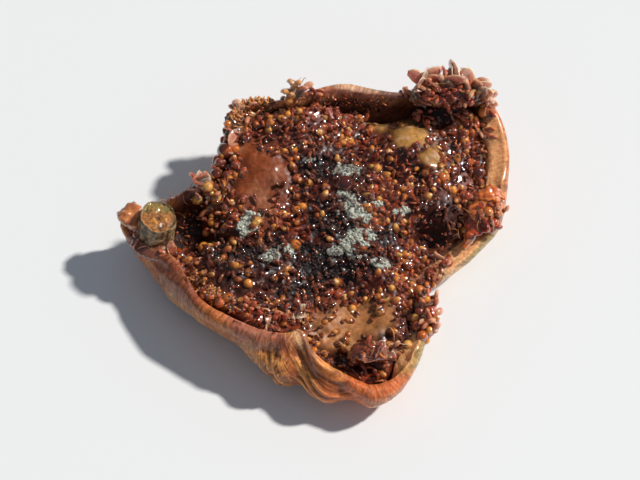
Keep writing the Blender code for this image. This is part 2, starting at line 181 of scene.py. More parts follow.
# %% [markdown]
# ## Small tools: clouds, patches and paint
# Ripe flesh is never one colour. Each large piece carries a colour for every vertex, mixed in code
# from named colours. A cloud is a smooth random field in space, and a patch is an oval with a ragged
# edge, placed where it shows in the view. The shader then adds the grain that is finer than the mesh.

# %% Clouds, patches and paint
def smooth(low, high, x):
    """0 below low, 1 above high, and a soft step between."""
    t = np.clip((x - low) / (high - low), 0, 1)
    return t * t * (3 - 2 * t)


def lattice(cell, seed):
    """A fixed random number from 0 to 1 for each cell of space."""
    n = cell[..., 0] * 374761393 + cell[..., 1] * 668265263 + cell[..., 2] * 1440662683 + seed * 97531
    n = (n ^ (n >> 13)) & 0xFFFFFFFF
    n = (n * 1274126177) & 0xFFFFFFFF
    return ((n ^ (n >> 16)) & 0xFFFF) / 65535.0


def cloud(points, size, seed=0):
    """A smooth random field from 0 to 1, whose lumps are about this size."""
    place = np.asarray(points) / size
    cell = np.floor(place).astype(np.int64)
    t = place - cell
    t = t * t * (3 - 2 * t)
    total = np.zeros(place.shape[:-1])
    for corner in itertools.product((0, 1), repeat=3):
        weight = np.prod(np.where(np.array(corner) == 1, t, 1 - t), axis=-1)
        total = total + weight * lattice(cell + np.array(corner), seed)
    return total


def clouds(points, size, seed=0, layers=3):
    """Clouds on clouds, each layer half the size and half as strong."""
    total, weight = 0.0, 0.0
    for layer in range(layers):
        total = total + cloud(points, size / 2**layer, seed + layer) / 2**layer
        weight += 1 / 2**layer
    return total / weight


def patch(points, ovals, ragged=0.5, seed=0, soft=0.35, grain=1.6 * MM):
    """A mask of ovals seen in the view: across, down, half width, half height, turn in degrees."""
    across, down = in_view(points)
    rough = (clouds(points, grain, seed + 50) - 0.5) * 2 * ragged
    best = np.full(across.shape, -9.0)
    for x, y, half_width, half_height, turn in ovals:
        c, s = math.cos(math.radians(turn)), math.sin(math.radians(turn))
        dx, dy = across - x, down - y
        u, v = (dx * c + dy * s) / half_width, (dy * c - dx * s) / half_height
        best = np.maximum(best, 1 - np.hypot(u, v))
    return smooth(-soft, soft, best + rough)


def paint(tint, colour, mask):
    """Lays a colour over the tint where the mask is 1."""
    return tint + (np.array(colour) - tint) * np.asarray(mask)[..., None]


def painted(count, base, coats):
    """This many base colours, with each coat's colour laid over them by its mask, in turn."""
    tint = np.tile(np.array(base), (count, 1))
    for colour, mask in coats:
        tint = paint(tint, colour, mask)
    return tint


def store(mesh, name, values):
    """Keeps a number or a colour for each vertex."""
    values = np.asarray(values, dtype=np.float32)
    if values.ndim == 1:
        mesh.attributes.new(name, "FLOAT", "POINT").data.foreach_set("value", values)
        return
    rgba = np.concatenate([values, np.ones((len(values), 1), np.float32)], axis=1)
    mesh.attributes.new(name, "FLOAT_COLOR", "POINT").data.foreach_set("color", rgba.ravel())


def store_vector(mesh, name, values):
    """Keeps a vector for each vertex."""
    mesh.attributes.new(name, "FLOAT_VECTOR", "POINT").data.foreach_set(
        "vector", np.asarray(values, dtype=np.float32).ravel())


def new_piece(name, vertices, faces):
    """A smooth object at the origin made from these vertices and faces."""
    mesh = bpy.data.meshes.new(name)
    mesh.from_pydata([tuple(v) for v in np.asarray(vertices).tolist()], [], faces)
    mesh.update()
    mesh.shade_smooth()
    obj = bpy.data.objects.new(name, mesh)
    bpy.context.scene.collection.objects.link(obj)
    return obj


print("tools are ready")

# %% [markdown]
# ## The section of the bowl
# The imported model's bowl follows one rule: a dished floor, then an arc, then a short straight stretch
# up to the torn rim. The rim's rows hold x, y and height, the slope the wall ends at, its thickness,
# how far down the pulp starts and the straight stretch. The finer skin and bed follow the same rule,
# so they fill the same place as the solids they stand for.

# %% The rim and the rule of the section
SHIFT = np.array((-0.463, 5.711, 0.0)) * MM
CENTRE = (0.0 * MM, -4.0 * MM)
RIM = (
    (28.1, 4.6, 8.4, 104, 1.8, 2.6, 0.4),
    (28.5, 8.7, 9.6, 104, 1.8, 3.2, 0.4),
    (27.9, 12.9, 11.0, 102, 1.8, 3.2, 0.4),
    (26.0, 16.2, 12.0, 98, 2.0, 1.6, 0.2),
    (22.2, 17.3, 12.6, 96, 2.0, 0.6, 0),
    (18.0, 17.3, 12.6, 96, 2.0, 1.2, 0),
    (13.2, 17.3, 12.6, 98, 2.0, 6.4, 0),
    (9.1, 17.7, 12.8, 98, 2.2, 6.4, 0),
    (4.8, 18.3, 13.2, 100, 2.4, 5.0, 0),
    (1.0, 17.9, 12.8, 98, 2.2, 1.6, 0),
    (-2.4, 16.9, 12.4, 95, 1.8, 0.6, 0),
    (-6.4, 16.1, 12.2, 95, 1.8, 0.5, 0),
    (-9.6, 16.0, 11.8, 95, 1.8, 0.5, 0),
    (-11.7, 14.8, 11.4, 97, 1.8, 0.6, 0),
    (-12.8, 12.2, 10.8, 98, 1.8, 0.8, 0),
    (-13.5, 9.2, 10.2, 98, 1.8, 0.8, 0),
    (-14.6, 5.8, 10.0, 98, 1.8, 0.8, 0),
    (-16.5, 3.5, 9.8, 98, 1.8, 0.9, 0),
    (-18.8, 2.2, 9.4, 96, 1.8, 4.0, 0),
    (-21.6, 0.6, 9.0, 92, 1.8, 9.0, 0),
    (-24.8, -0.7, 8.6, 86, 1.6, 12.0, 0),
    (-27.6, -1.1, 8.4, 80, 1.5, 13.0, 0),
    (-28.2, -2.4, 8.2, 82, 1.5, 13.0, 0),
    (-26.8, -5.0, 8.4, 94, 1.5, 12.0, 0.6),
    (-23.9, -7.7, 9.3, 110, 1.6, 8.0, 1.6),
    (-20.5, -9.2, 9.8, 124, 2.2, 3.0, 3.2),
    (-18.5, -12.6, 10.0, 122, 2.2, 0.8, 2.8),
    (-16.3, -16.6, 10.2, 106, 2.2, 0.6, 1.0),
    (-13.1, -18.9, 10.2, 105, 2.2, 0.6, 0.8),
    (-10.4, -20.3, 10.4, 108, 2.2, 0.6, 1.0),
    (-7.3, -21.6, 10.6, 124, 2.4, 0.6, 3.0),
    (-4.0, -22.2, 10.8, 136, 2.4, 0.6, 4.8),
    (-1.6, -21.8, 11.0, 140, 2.4, 1.0, 6.4),
    (-0.1, -24.5, 9.8, 138, 2.4, 2.2, 4.2),
    (2.7, -26.6, 9.0, 132, 2.6, 3.0, 2.8),
    (5.7, -28.0, 8.2, 124, 2.8, 3.2, 1.8),
    (8.5, -28.9, 7.8, 120, 2.8, 2.6, 1.2),
    (11.3, -27.9, 7.8, 114, 2.4, 2.2, 0.8),
    (13.4, -25.6, 8.2, 110, 2.0, 2.0, 0.6),
    (14.9, -22.4, 8.4, 110, 1.8, 1.0, 0.6),
    (15.9, -18.7, 7.8, 104, 1.8, 0.6, 0.2),
    (15.9, -15.2, 6.6, 92, 1.8, 0.5, 0),
    (15.6, -12.2, 5.4, 86, 1.8, 0.5, 0),
    (18.0, -10.4, 5.2, 84, 1.8, 1.6, 0),
    (21.0, -8.2, 5.6, 86, 1.8, 2.2, 0),
    (24.3, -5.0, 6.2, 92, 1.8, 2.4, 0),
    (26.8, -1.8, 7.0, 100, 1.8, 2.4, 0.2),
)
RIM_STEPS = 12
FLOOR_POWER = 2.2
FLOOR_SLOPE = math.radians(12)


def rim_table():
    """Angle, then radius and height of the skin's top edge, slope, thickness, drop and stretch."""
    rows = []
    for x, y, top, slope, thick, drop, straight in RIM:
        dx, dy = x * MM - CENTRE[0], y * MM - CENTRE[1]
        slope = math.radians(slope)
        rows.append((math.atan2(dy, dx), math.hypot(dx, dy) + thick / 2 * MM * math.sin(slope),
                     (top - thick / 2 * math.cos(slope)) * MM, slope, thick * MM, drop * MM, straight * MM))
    rows.sort()
    rows = np.array(rows)
    turn = np.zeros(rows.shape[1])
    turn[0] = 2 * math.pi
    ring = np.vstack([rows[-2:] - turn, rows, rows[:2] + turn])
    table = []
    for before, start, end, after in zip(ring, ring[1:], ring[2:], ring[3:]):
        for step in range(RIM_STEPS):
            t = step / RIM_STEPS
            table.append(0.5 * (2 * start + (end - before) * t
                                + (2 * before - 5 * start + 4 * end - after) * t**2
                                + (3 * start - before - 3 * end + after) * t**3))
    return np.array(table)


RIM_TABLE = rim_table()


def rim_at(angle):
    """Radius, height, slope, thickness, drop and straight stretch at these angles."""
    return [np.interp(angle, RIM_TABLE[:, 0], column, period=2 * math.pi) for column in RIM_TABLE.T[1:]]


def wall_arc(angle):
    """The floor's radius, the arc's radius, the arc's turn and the section's length."""
    radius, top, slope, _, _, straight = rim_at(angle)
    radius = radius - straight * np.cos(slope)
    top = top - straight * np.sin(slope)
    dish = math.tan(FLOOR_SLOPE) / FLOOR_POWER
    rise = math.cos(FLOOR_SLOPE) - np.cos(slope)
    run = np.sin(slope) - math.sin(FLOOR_SLOPE)
    floor_radius = (radius * rise - top * run) / (rise - dish * run)
    bend = (top - dish * floor_radius) / rise
    turn = slope - FLOOR_SLOPE
    return floor_radius, bend, turn, floor_radius + bend * turn + straight


def wall_section(angle, climb, inset):
    """Radius and height of the wall: climb is 0 under the middle and 1 at the rim."""
    floor_radius, bend, turn, length = wall_arc(angle)
    along = climb * length
    share = np.clip(along / floor_radius, 0, 1)
    slope = FLOOR_SLOPE + np.clip((along - floor_radius) / bend, 0, turn)
    past = np.maximum(along - floor_radius - bend * turn, 0)
    r = floor_radius * share + bend * (np.sin(slope) - math.sin(FLOOR_SLOPE)) + past * np.cos(slope)
    z = (floor_radius * math.tan(FLOOR_SLOPE) / FLOOR_POWER * share**FLOOR_POWER
         + bend * (math.cos(FLOOR_SLOPE) - np.cos(slope)) + past * np.sin(slope))
    floor_tilt = np.arctan(math.tan(FLOOR_SLOPE) * share ** (FLOOR_POWER - 1))
    tilt = np.where(along < floor_radius, floor_tilt, slope)
    return r - inset * np.sin(tilt), z + inset * np.cos(tilt)


def around(angle, r, z):
    """Points of the fig at these angles, radii and heights."""
    return np.stack([CENTRE[0] + r * np.cos(angle), CENTRE[1] + r * np.sin(angle), z], axis=-1) + SHIFT


print("rim rows:", len(RIM), "steps:", len(RIM_TABLE))

# %% [markdown]
# ## The rind
# The rind is skin and the pale flesh under it. Ribs run from the stalk to the eye, the near side is
# gathered into folds like pulled cloth, and the lip is torn. A closed shell is laid out as rings:
# outer rings from the resting spot up to the lip, then inner rings back down. Everything small is a
# push along the wall, so the shell can't tear open.

# %% Shape the rind
STALK_POLE = (-27.0 * MM, -4.0 * MM)
EYE_POLE = (17.0 * MM, -12.0 * MM)
RIBS, RIB_DEPTH = 15, 0.28 * MM
FOLD_ANGLE, FOLD_SPREAD = math.radians(266), math.radians(34)
FOLDS, FOLD_DEPTH = 4, 0.75 * MM
FLAT_SPOT = 0.35 * MM
LIP_SHARE = 0.08
RIND_SIDES, OUTER_RINGS, INNER_RINGS = 400, 108, 44
TEAR_DEPTH = 0.8 * MM
WIDE_LIPS = ((math.radians(20), math.radians(20)), (math.radians(-12), math.radians(17)),
              (math.radians(-52), math.radians(14)))
BEVEL_SLOPE, BEVEL_DEPTH = 1.9, 3.8 * MM
FLOW_RADIUS, FLOW_CLIMB = 22 * MM, 7 * MM
WRINKLE_DEPTH = 0.26 * MM


def skin_relief(angle, climb, x, y):
    """How far the large ribs and folds push the skin in."""
    meridian = (np.arctan2(y - STALK_POLE[1], x - STALK_POLE[0])
                - np.arctan2(y - EYE_POLE[1], x - EYE_POLE[0]))
    ribs = RIB_DEPTH * (0.5 + 0.5 * np.cos(2 * RIBS * meridian))
    off = (angle - FOLD_ANGLE + math.pi) % (2 * math.pi) - math.pi
    fan = off / (0.45 + 0.55 * (1.6 - climb))
    inside = np.clip(1 - (fan / FOLD_SPREAD) ** 2, 0, 1)
    high = np.clip((climb - 0.35) / 0.3, 0, 1)
    folds = FOLD_DEPTH * inside * high * (0.15 + 0.5 * np.cos(math.pi * FOLDS * fan / FOLD_SPREAD))
    return (ribs * high + folds) * np.clip((1.02 - climb) / 0.1, 0, 1), inside * high


def ring_place(angle, climb, wind):
    """A place in noise space that goes round with the angle and up with the climb."""
    slant = angle + wind * climb
    return np.stack([np.cos(slant), np.sin(slant), climb * 0 + 3.0], axis=-1)


def fine_creases(angle, climb, gathered):
    """Small wrinkles that run up the wall, deeper where the skin is gathered."""
    run = ring_place(angle, climb, 0.5 + 0.9 * gathered)
    run[..., 2] = climb * 0.7
    wide = np.abs(cloud(run, 0.085, 11) - 0.5) * 2
    thin = np.abs(cloud(run, 0.036, 12) - 0.5) * 2
    return (1 - wide) ** 2 * (0.5 + 1.9 * gathered) + (1 - thin) ** 2 * (0.35 + 1.1 * gathered)


def wide_lip(angle):
    """1 where the lip is wide and slopes in, so that it catches the light."""
    best = angle * 0
    for middle, half in WIDE_LIPS:
        off = (angle - middle + math.pi) % (2 * math.pi) - math.pi
        best = np.maximum(best, smooth(half, 0.6 * half, np.abs(off)))
    return best


def tear_at(angle):
    """How far the lip is torn down at these angles."""
    spot = np.stack([np.cos(angle), np.sin(angle), angle * 0], axis=-1)
    return TEAR_DEPTH * (0.7 * cloud(spot, 0.09, 21) + 0.5 * cloud(spot, 0.03, 22) - 0.4)


def rind_points(angle, climb, inner):
    """Points of the skin's outside or of the flesh's inside, and how creased they are."""
    length = wall_arc(angle)[3]
    below = (1 - climb) * length
    climb = climb * (1 - tear_at(angle) / length * climb**6)
    thick = rim_at(angle)[3]
    thick = thick * smooth(0, 0.3, climb) + 2.0 * MM * (1 - smooth(0, 0.3, climb))
    lip = np.clip((climb - 1 + LIP_SHARE) / LIP_SHARE, 0, 1)
    across = 0.5 * np.sqrt(1 - np.minimum(lip, 1) ** 2 * 0.9999)
    inset = thick * (0.5 + (across if inner else -across))
    if inner:
        bevel = np.minimum(0.5 * thick + BEVEL_SLOPE * below, BEVEL_DEPTH)
        bevel = thick + (bevel - thick) * smooth(0.5, 0.7, climb)
        inset = inset + (bevel - inset) * wide_lip(angle)
    r, z = wall_section(angle, climb, inset)
    x, y = CENTRE[0] + r * np.cos(angle), CENTRE[1] + r * np.sin(angle)
    large, gathered = skin_relief(angle, climb, x, y)
    creases = fine_creases(angle, climb, gathered)
    fine = WRINKLE_DEPTH * creases * smooth(0.3, 0.6, climb) * smooth(1.01, 0.9, climb)
    spot = around(angle, r, z)
    flesh = 0.35 * MM * (clouds(spot, 1.8 * MM, 31) - 0.5)
    if inner:
        r, z = wall_section(angle, climb, inset + flesh)
    else:
        r, z = wall_section(angle, climb, inset + large + fine + 0.4 * flesh * smooth(0.4, 0.6, climb))
        z = np.maximum(z - FLAT_SPOT, 0.0)
    return around(angle, r, z), creases, gathered, climb


def closed_rings(rings):
    """Faces of a closed shape made of rings of the same size, with a pole at each end."""
    count, sides = len(rings), len(rings[0])
    low, high = count * sides, count * sides + 1
    faces = []
    for side in range(sides):
        after = (side + 1) % sides
        faces.append((low, after, side))
        faces.append((high, (count - 1) * sides + side, (count - 1) * sides + after))
        for ring in range(count - 1):
            a, b = ring * sides + side, ring * sides + after
            faces.append((a, b, b + sides, a + sides))
    return faces


def shell_of(rings):
    """Vertices of the rings with the two poles at the end."""
    points = np.concatenate(rings)
    return np.vstack([points, rings[0].mean(axis=0), rings[-1].mean(axis=0)])


angles = np.linspace(0, 2 * math.pi, RIND_SIDES, endpoint=False)
outer_climbs = np.linspace(0, 1, OUTER_RINGS + 1)[1:]
inner_climbs = 1 - np.linspace(0, 1, INNER_RINGS + 1)[1:-1] ** 1.6
rings, creased, gathers, climbs, outside = [], [], [], [], []
for climb, inner in [(c, False) for c in outer_climbs] + [(c, True) for c in inner_climbs]:
    ring, creases, gathered, raised = rind_points(angles, np.full(RIND_SIDES, climb), inner)
    rings.append(ring)
    creased.append(creases)
    gathers.append(gathered)
    climbs.append(raised)
    outside.append(np.full(RIND_SIDES, 0.0 if inner else 1.0))
rind_vertices = shell_of(rings)
rind_skin = new_piece("rind_skin", rind_vertices, closed_rings(rings))


def with_poles(columns):
    """One value for each vertex of a shell, with those of the two poles at the end."""
    return np.concatenate(columns + [columns[0][:1], columns[-1][:1]])


rind_creases, rind_gathers = with_poles(creased), with_poles(gathers)
rind_climb, rind_outside = with_poles(climbs), with_poles(outside)
rind_angle = np.concatenate([np.tile(angles, len(rings)), [0, 0]])
flow = ring_place(rind_angle, rind_climb, 0.5 + 0.9 * rind_gathers) * FLOW_RADIUS
flow[:, 2] = rind_climb * FLOW_CLIMB
store_vector(rind_skin.data, "flow", flow)
rind_tree = BVHTree.FromObject(rind_skin, bpy.context.evaluated_depsgraph_get())
print("rind:", len(rind_vertices), "vertices")

# %% Colour the rind
TAN, ORANGE, RUST = (0.56, 0.25, 0.10), (0.52, 0.15, 0.035), (0.24, 0.045, 0.015)
CREAM, ROSE, PLUM = (0.70, 0.48, 0.29), (0.40, 0.12, 0.085), (0.17, 0.09, 0.10)
OLIVE, GREY_SKIN, MAROON = (0.33, 0.24, 0.07), (0.20, 0.17, 0.13), (0.075, 0.014, 0.007)
ROSY_PLACES = ((250, 330, 26, 13, 30), (276, 340, 14, 10, 40), (350, 92, 34, 8, 4))
CREAM_PLACES = ((306, 336, 11, 26, -14), (365, 88, 30, 5, 5), (462, 264, 36, 11, -36),
                (250, 372, 14, 4, 30))
GOLD_PLACES = ((215, 312, 26, 6, 36), (276, 356, 16, 16, 0), (494, 142, 12, 46, -6), (310, 362, 26, 18, 30))
GLOW_PLACES = ((362, 388, 42, 18, -6), (396, 382, 24, 12, -30))
GLOW, FOLD_GOLD_AND_LIGHT, BRICK = (0.68, 0.15, 0.04), (0.92, 0.38, 0.10), (0.22, 0.045, 0.022)
LIT_WALL_GOLD, CAVE_SHADE = (0.90, 0.43, 0.18), (0.02, 0.005, 0.003)
FOLD_PLACES = ((300, 355, 46, 30, 32), (330, 380, 30, 14, 30))
BRICK_PLACES = ((178, 280, 36, 15, 50), (150, 246, 14, 8, 40))
DARK_PLACES = ((195, 190, 20, 14, -42), (142, 240, 14, 12, 20), (402, 92, 22, 6, 0))
OLIVE_PLACES = ((416, 350, 13, 26, 28), (478, 256, 18, 10, -40), (490, 232, 8, 18, 20))
RUST_PLACES = ((205, 288, 30, 16, 42),)
# Inner walls that are painted lighter than the flesh: their own tan, brightened as painted light.
LIT_WALL_PLACES = ((494, 145, 22, 50, -4), (420, 345, 20, 28, 10), (470, 254, 30, 13, -34))
SPILL_PLACES = ((240, 116, 26, 12, -30), (268, 100, 26, 9, -16), (300, 92, 16, 6, 0), (222, 160, 9, 34, 24),
                (428, 312, 10, 30, -12), (486, 212, 12, 22, 10), (434, 284, 10, 8, 0),
                 (420, 280, 20, 10, -40),
                (440, 96, 36, 8, 0), (484, 110, 8, 14, 0))
CROWN_SHADE = ((436, 104, 44, 14, 4), (470, 112, 8, 12, 20))
CAVE_SHADE_PLACES = ((190, 234, 20, 26, 10), (176, 246, 14, 8, 0))
LINING_PLACES = ((328, 100, 30, 9, 8), (300, 106, 16, 10, 0), (372, 104, 30, 7, -6), (422, 277, 22, 11, -38),
                 (190, 236, 14, 22, 10))

spots = rind_vertices
mottle = clouds(spots, 5 * MM, 41)
speck = clouds(spots, 1.1 * MM, 42)
streak = cloud(ring_place(rind_angle, rind_climb, 0.5) * np.array((1, 1, 0.3)), 0.03, 43)
inner = 1 - rind_outside
lit_wall = patch(spots, LIT_WALL_PLACES, 0.3, 8)
spill = patch(spots, SPILL_PLACES, 0.5, 7) * smooth(0.93, 0.97, rind_climb)
tint = painted(len(spots), TAN, (
    (ORANGE, smooth(0.35, 0.75, mottle) * 0.8),
    (RUST, smooth(0.55, 0.85, speck) * 0.35),
    (CREAM, smooth(0.72, 0.95, streak) * 0.35),
    (RUST, patch(spots, RUST_PLACES, 0.5, 1) * 0.55),
    (ORANGE, patch(spots, GOLD_PLACES, 0.4, 2) * 0.7),
    # the folds' own orange-gold, made brighter as painted light
    (FOLD_GOLD_AND_LIGHT, patch(spots, FOLD_PLACES, 0.4, 10, 0.5) * 0.95),
    (BRICK, patch(spots, BRICK_PLACES, 0.5, 11, 0.5) * 0.8),
    (ROSE, patch(spots, ROSY_PLACES, 0.6, 3) * 0.75),
    (CREAM, patch(spots, CREAM_PLACES, 0.4, 4) * 0.6),
    (GLOW, patch(spots, GLOW_PLACES, 0.4, 9, 0.5) * 0.8),
    (OLIVE, patch(spots, OLIVE_PLACES, 0.4, 5) * 0.7),
    (PLUM, patch(spots, DARK_PLACES, 0.5, 6) * 0.8),
    # painted shade: red-brown down in the creases; painted highlight: cream between the creases of the
    # gathered folds
    (RUST, smooth(1.3, 2.6, rind_creases) * (0.25 + 0.6 * rind_gathers) * rind_outside),
    (CREAM, smooth(0.9, 0.3, rind_creases) * rind_gathers * 0.4 * rind_outside),
    (PLUM, smooth(0.62, 0.40, rind_climb) * rind_outside * 0.75),
    (GREY_SKIN, smooth(0.5, 0.25, rind_climb) * rind_outside * 0.5),
    # the inner wall below the lip: the flesh's own dark red, partly painted shade
    (MAROON, inner * smooth(0.98, 0.89, rind_climb) * (0.93 - 0.93 * lit_wall)),
    # painted light: the inner walls' tan-gold, brightened where they turn away from the key light
    (LIT_WALL_GOLD, inner * lit_wall * 0.85),
    (RUST, spill * 0.8),
    (MAROON, spill * smooth(0.45, 0.6, mottle) * 0.7),
    (MAROON, patch(spots, CROWN_SHADE, 0.4, 14) * inner * 0.9),
    # painted shade: near-black in the cavity beside the stalk
    (CAVE_SHADE, patch(spots, CAVE_SHADE_PLACES, 0.4, 16) * inner * 0.95),
))
store(rind_skin.data, "tint", tint)
store(rind_skin.data, "spill", spill)
store(rind_skin.data, "lining", patch(spots, LINING_PLACES, 0.7, 15) * inner * smooth(0.55, 0.7, rind_climb))
store(rind_skin.data, "streaky", 0.62 - 0.4 * lit_wall * inner)
print("mean colour of the rind:", tint.mean(axis=0).round(3))

# %% [markdown]
# ## The bed of pulp
# The pulp is the lining of hundreds of fruitlets and the jelly between them. Its bed is a closed
# cushion that follows the bowl below and rolls over humps, hollows and jelly on top. Masks say where
# the jelly, the mould, the black rot and the deep hollows are. They colour the bed, and the scattered
# fruitlets read them too. The dark in the deep hollows is painted shade, and so is part of the dark
# where the fruitlets thin out. The bed is painted orange on its raised grain and dark in the low spots
# between, as painted light and shade.

# %% Shape the bed
GAP = 0.4 * MM
BED_HEIGHT, BED_LEAST, PULP_EDGE = 8.4 * MM, 1.2 * MM, 1.6 * MM
STEEPEST_FLOOR = math.radians(60)
BED_FORMS = (
    (-8.6, 6.2, 4.6, 1.4),
    (13.4, 10.2, 4.4, 2.2),
    (17.2, 5.4, 4.0, 1.8),
    (19.8, -1.0, 3.4, 1.6),
    (4.6, 2.6, 5.0, 1.2),
    (-2.0, 11.0, 5.0, 1.4),
    (-13.0, -12.6, 4.0, 1.2),
    (10.5, -9.0, 4.0, 1.0),
    (-18.2, -3.0, 3.6, -3.2),
    (11.0, 14.6, 5.0, -2.6),
    (15.4, -4.6, 2.8, -2.2),
    (0.6, -11.4, 4.6, -1.6),
    (7.0, -15.6, 3.4, -1.8),
    (5.6, -21.8, 4.6, -1.6),
)
BED_SIDES, TOP_RINGS, UNDER_RINGS = 440, 104, 14
LUMP_RISE, GRAIN_RISE = 1.1 * MM, 0.75 * MM
BED_PULLED_IN = 1.8 * MM

JELLY_PLACES = ((262, 180, 26, 36, 12), (250, 150, 12, 12, 0))
TAN_PLACES = ((408, 135, 20, 13, 12), (433, 160, 14, 10, 25), (385, 128, 14, 6, 10))
LOW_JELLY_PLACES = ((350, 322, 34, 20, -12), (336, 340, 20, 12, 10), (386, 316, 12, 14, 20))
HOLLOW_PLACES = ((191, 222, 11, 30, 8), (425, 108, 32, 18, 12), (360, 104, 26, 8, -4),
                 (432, 236, 14, 14, 0), (214, 238, 26, 10, 8), (420, 175, 8, 8, 0),
                 (352, 362, 26, 8, 16), (196, 246, 16, 12, 0))
SPARSE_AND_SHADED_PLACES = ((240, 262, 52, 26, 12), (440, 226, 24, 34, 10), (200, 236, 22, 30, 0), (330, 262, 46, 24, 4),
                 (425, 112, 36, 22, 10), (318, 168, 26, 14, 0), (376, 340, 34, 24, -20),
                  (260, 300, 30, 10, 30),
                 (222, 276, 40, 18, 24), (272, 284, 46, 14, 8))
BLACK_PLACES = ((322, 264, 36, 22, 4), (226, 258, 16, 10, 20), (350, 184, 16, 18, 0), (388, 238, 12, 10, 20),
                (318, 168, 22, 12, -8),
                (335, 218, 26, 20, 0), (262, 254, 22, 12, 10), (300, 288, 24, 8, 4), (372, 262, 14, 8, 0))
MOULD_PLACES = ((248, 222, 11, 11, 0), (346, 171, 10, 6, 0), (349, 200, 9, 10, 0), (359, 213, 14, 8, 25),
                (355, 236, 17, 14, -20), (342, 250, 10, 8, 0), (273, 257, 12, 9, -30), (287, 250, 6, 8, 0),
                (400, 211, 10, 5, 0), (181, 288, 4, 4, 0), (372, 204, 8, 6, 0), (308, 160, 7, 3, 0),
                (378, 262, 8, 4, 20), (334, 262, 6, 4, 0))


def floor_height(angle, r):
    """Height of the rind's inner face, as seen from above, at this radius."""
    climbs_up = np.linspace(0, 1, 60)
    heights = np.empty(r.shape)
    for i, a in enumerate(angle):
        floor_radius, bend, _, length = wall_arc(a)
        steep = (floor_radius + bend * (STEEPEST_FLOOR - FLOOR_SLOPE)) / length
        section_r, section_z = wall_section(np.full(60, a), climbs_up * steep, rim_at(a)[3] + GAP)
        heights[..., i] = np.interp(r[..., i], section_r, section_z)
    return heights


def bed_surface():
    """Rings of the bed: the top from the middle out to the edge, then the underside back in."""
    angle = np.linspace(0, 2 * math.pi, BED_SIDES, endpoint=False)
    reach = 1 - rim_at(angle)[4] / wall_arc(angle)[3]
    edge_r, edge_z = wall_section(angle, reach, rim_at(angle)[3] + GAP + 0.5 * PULP_EDGE)
    edge_r = edge_r - BED_PULLED_IN * wide_lip(angle)
    climb = np.linspace(0, 1, TOP_RINGS + 1)[1:, None]
    r = climb * edge_r
    place = around(np.broadcast_to(angle, r.shape), r, r * 0)
    x, y = place[..., 0] - SHIFT[0], place[..., 1] - SHIFT[1]
    z = np.full(r.shape, BED_HEIGHT)
    for at_x, at_y, radius, rise in BED_FORMS:
        z = z + rise * MM * np.exp(-((x - at_x * MM) ** 2 + (y - at_y * MM) ** 2) / (radius * MM) ** 2)
    z = z * (1 - climb**5) + edge_z * climb**5
    place[..., 2] = z
    calm = np.clip(patch(place, JELLY_PLACES + TAN_PLACES + LOW_JELLY_PLACES, 0.3, 8), 0, 1)
    deep = patch(place, HOLLOW_PLACES, 0.3, 9)
    crust = patch(place, MOULD_PLACES, 1.3, 10, 0.2, 1.0 * MM)
    grains = clouds(place, 1.25 * MM, 62)
    lumps = LUMP_RISE * (clouds(place, 3.6 * MM, 61) - 0.5) + GRAIN_RISE * (grains - 0.5)
    z = z + lumps * (1 - 0.6 * calm) - 1.3 * MM * deep + 0.25 * MM * calm + 0.3 * MM * crust
    z = np.maximum(z, floor_height(angle, r) + 0.5 * BED_LEAST * (1 - climb**8))
    top = around(np.broadcast_to(angle, r.shape), r, z)
    down = np.linspace(1, 0, UNDER_RINGS + 1)[:-1, None]
    under_r, under_z = wall_section(angle, down * reach, rim_at(angle)[3] + GAP)
    lip = np.clip((down - 0.9) / 0.1, 0, 1) ** 2
    under_r = under_r * (1 - lip) + edge_r * lip
    under_z = under_z * (1 - lip) + edge_z * lip
    under = around(np.broadcast_to(angle, under_r.shape), under_r, under_z)[1:]
    return top, under, grains


bed_top, bed_under, bed_grains = bed_surface()
bed_rings = [ring for ring in bed_under[::-1]] + [ring for ring in bed_top[::-1]]
bed_vertices = shell_of(bed_rings)
pulp_bed = new_piece("pulp_bed", bed_vertices, closed_rings(bed_rings))
is_top = np.concatenate([np.zeros(len(bed_under) * BED_SIDES), np.ones(len(bed_top) * BED_SIDES), [0, 1]])
bed_rise = np.concatenate([np.zeros(len(bed_under) * BED_SIDES), bed_grains[::-1].ravel(), [0.5, 0.5]])
bed_climb = np.concatenate([np.zeros(len(bed_under) * BED_SIDES),
                            np.repeat(np.linspace(1, 1 / TOP_RINGS, TOP_RINGS), BED_SIDES), [0, 0]])
bed_tree = BVHTree.FromObject(pulp_bed, bpy.context.evaluated_depsgraph_get())
print("bed:", len(bed_vertices), "vertices")

# %% Colour the bed and keep its masks
JELLY, TAN_JELLY, LOW_JELLY = (0.24, 0.055, 0.014), (0.50, 0.25, 0.066), (0.44, 0.18, 0.06)
PULP_RED, PULP_DARK, PULP_ORANGE = (0.10, 0.012, 0.004), (0.022, 0.004, 0.002), (0.36, 0.055, 0.010)
BLACK_ROT, MOULD_GREY, PALE_JELLY = (0.006, 0.005, 0.005), (0.42, 0.43, 0.36), (0.56, 0.34, 0.20)

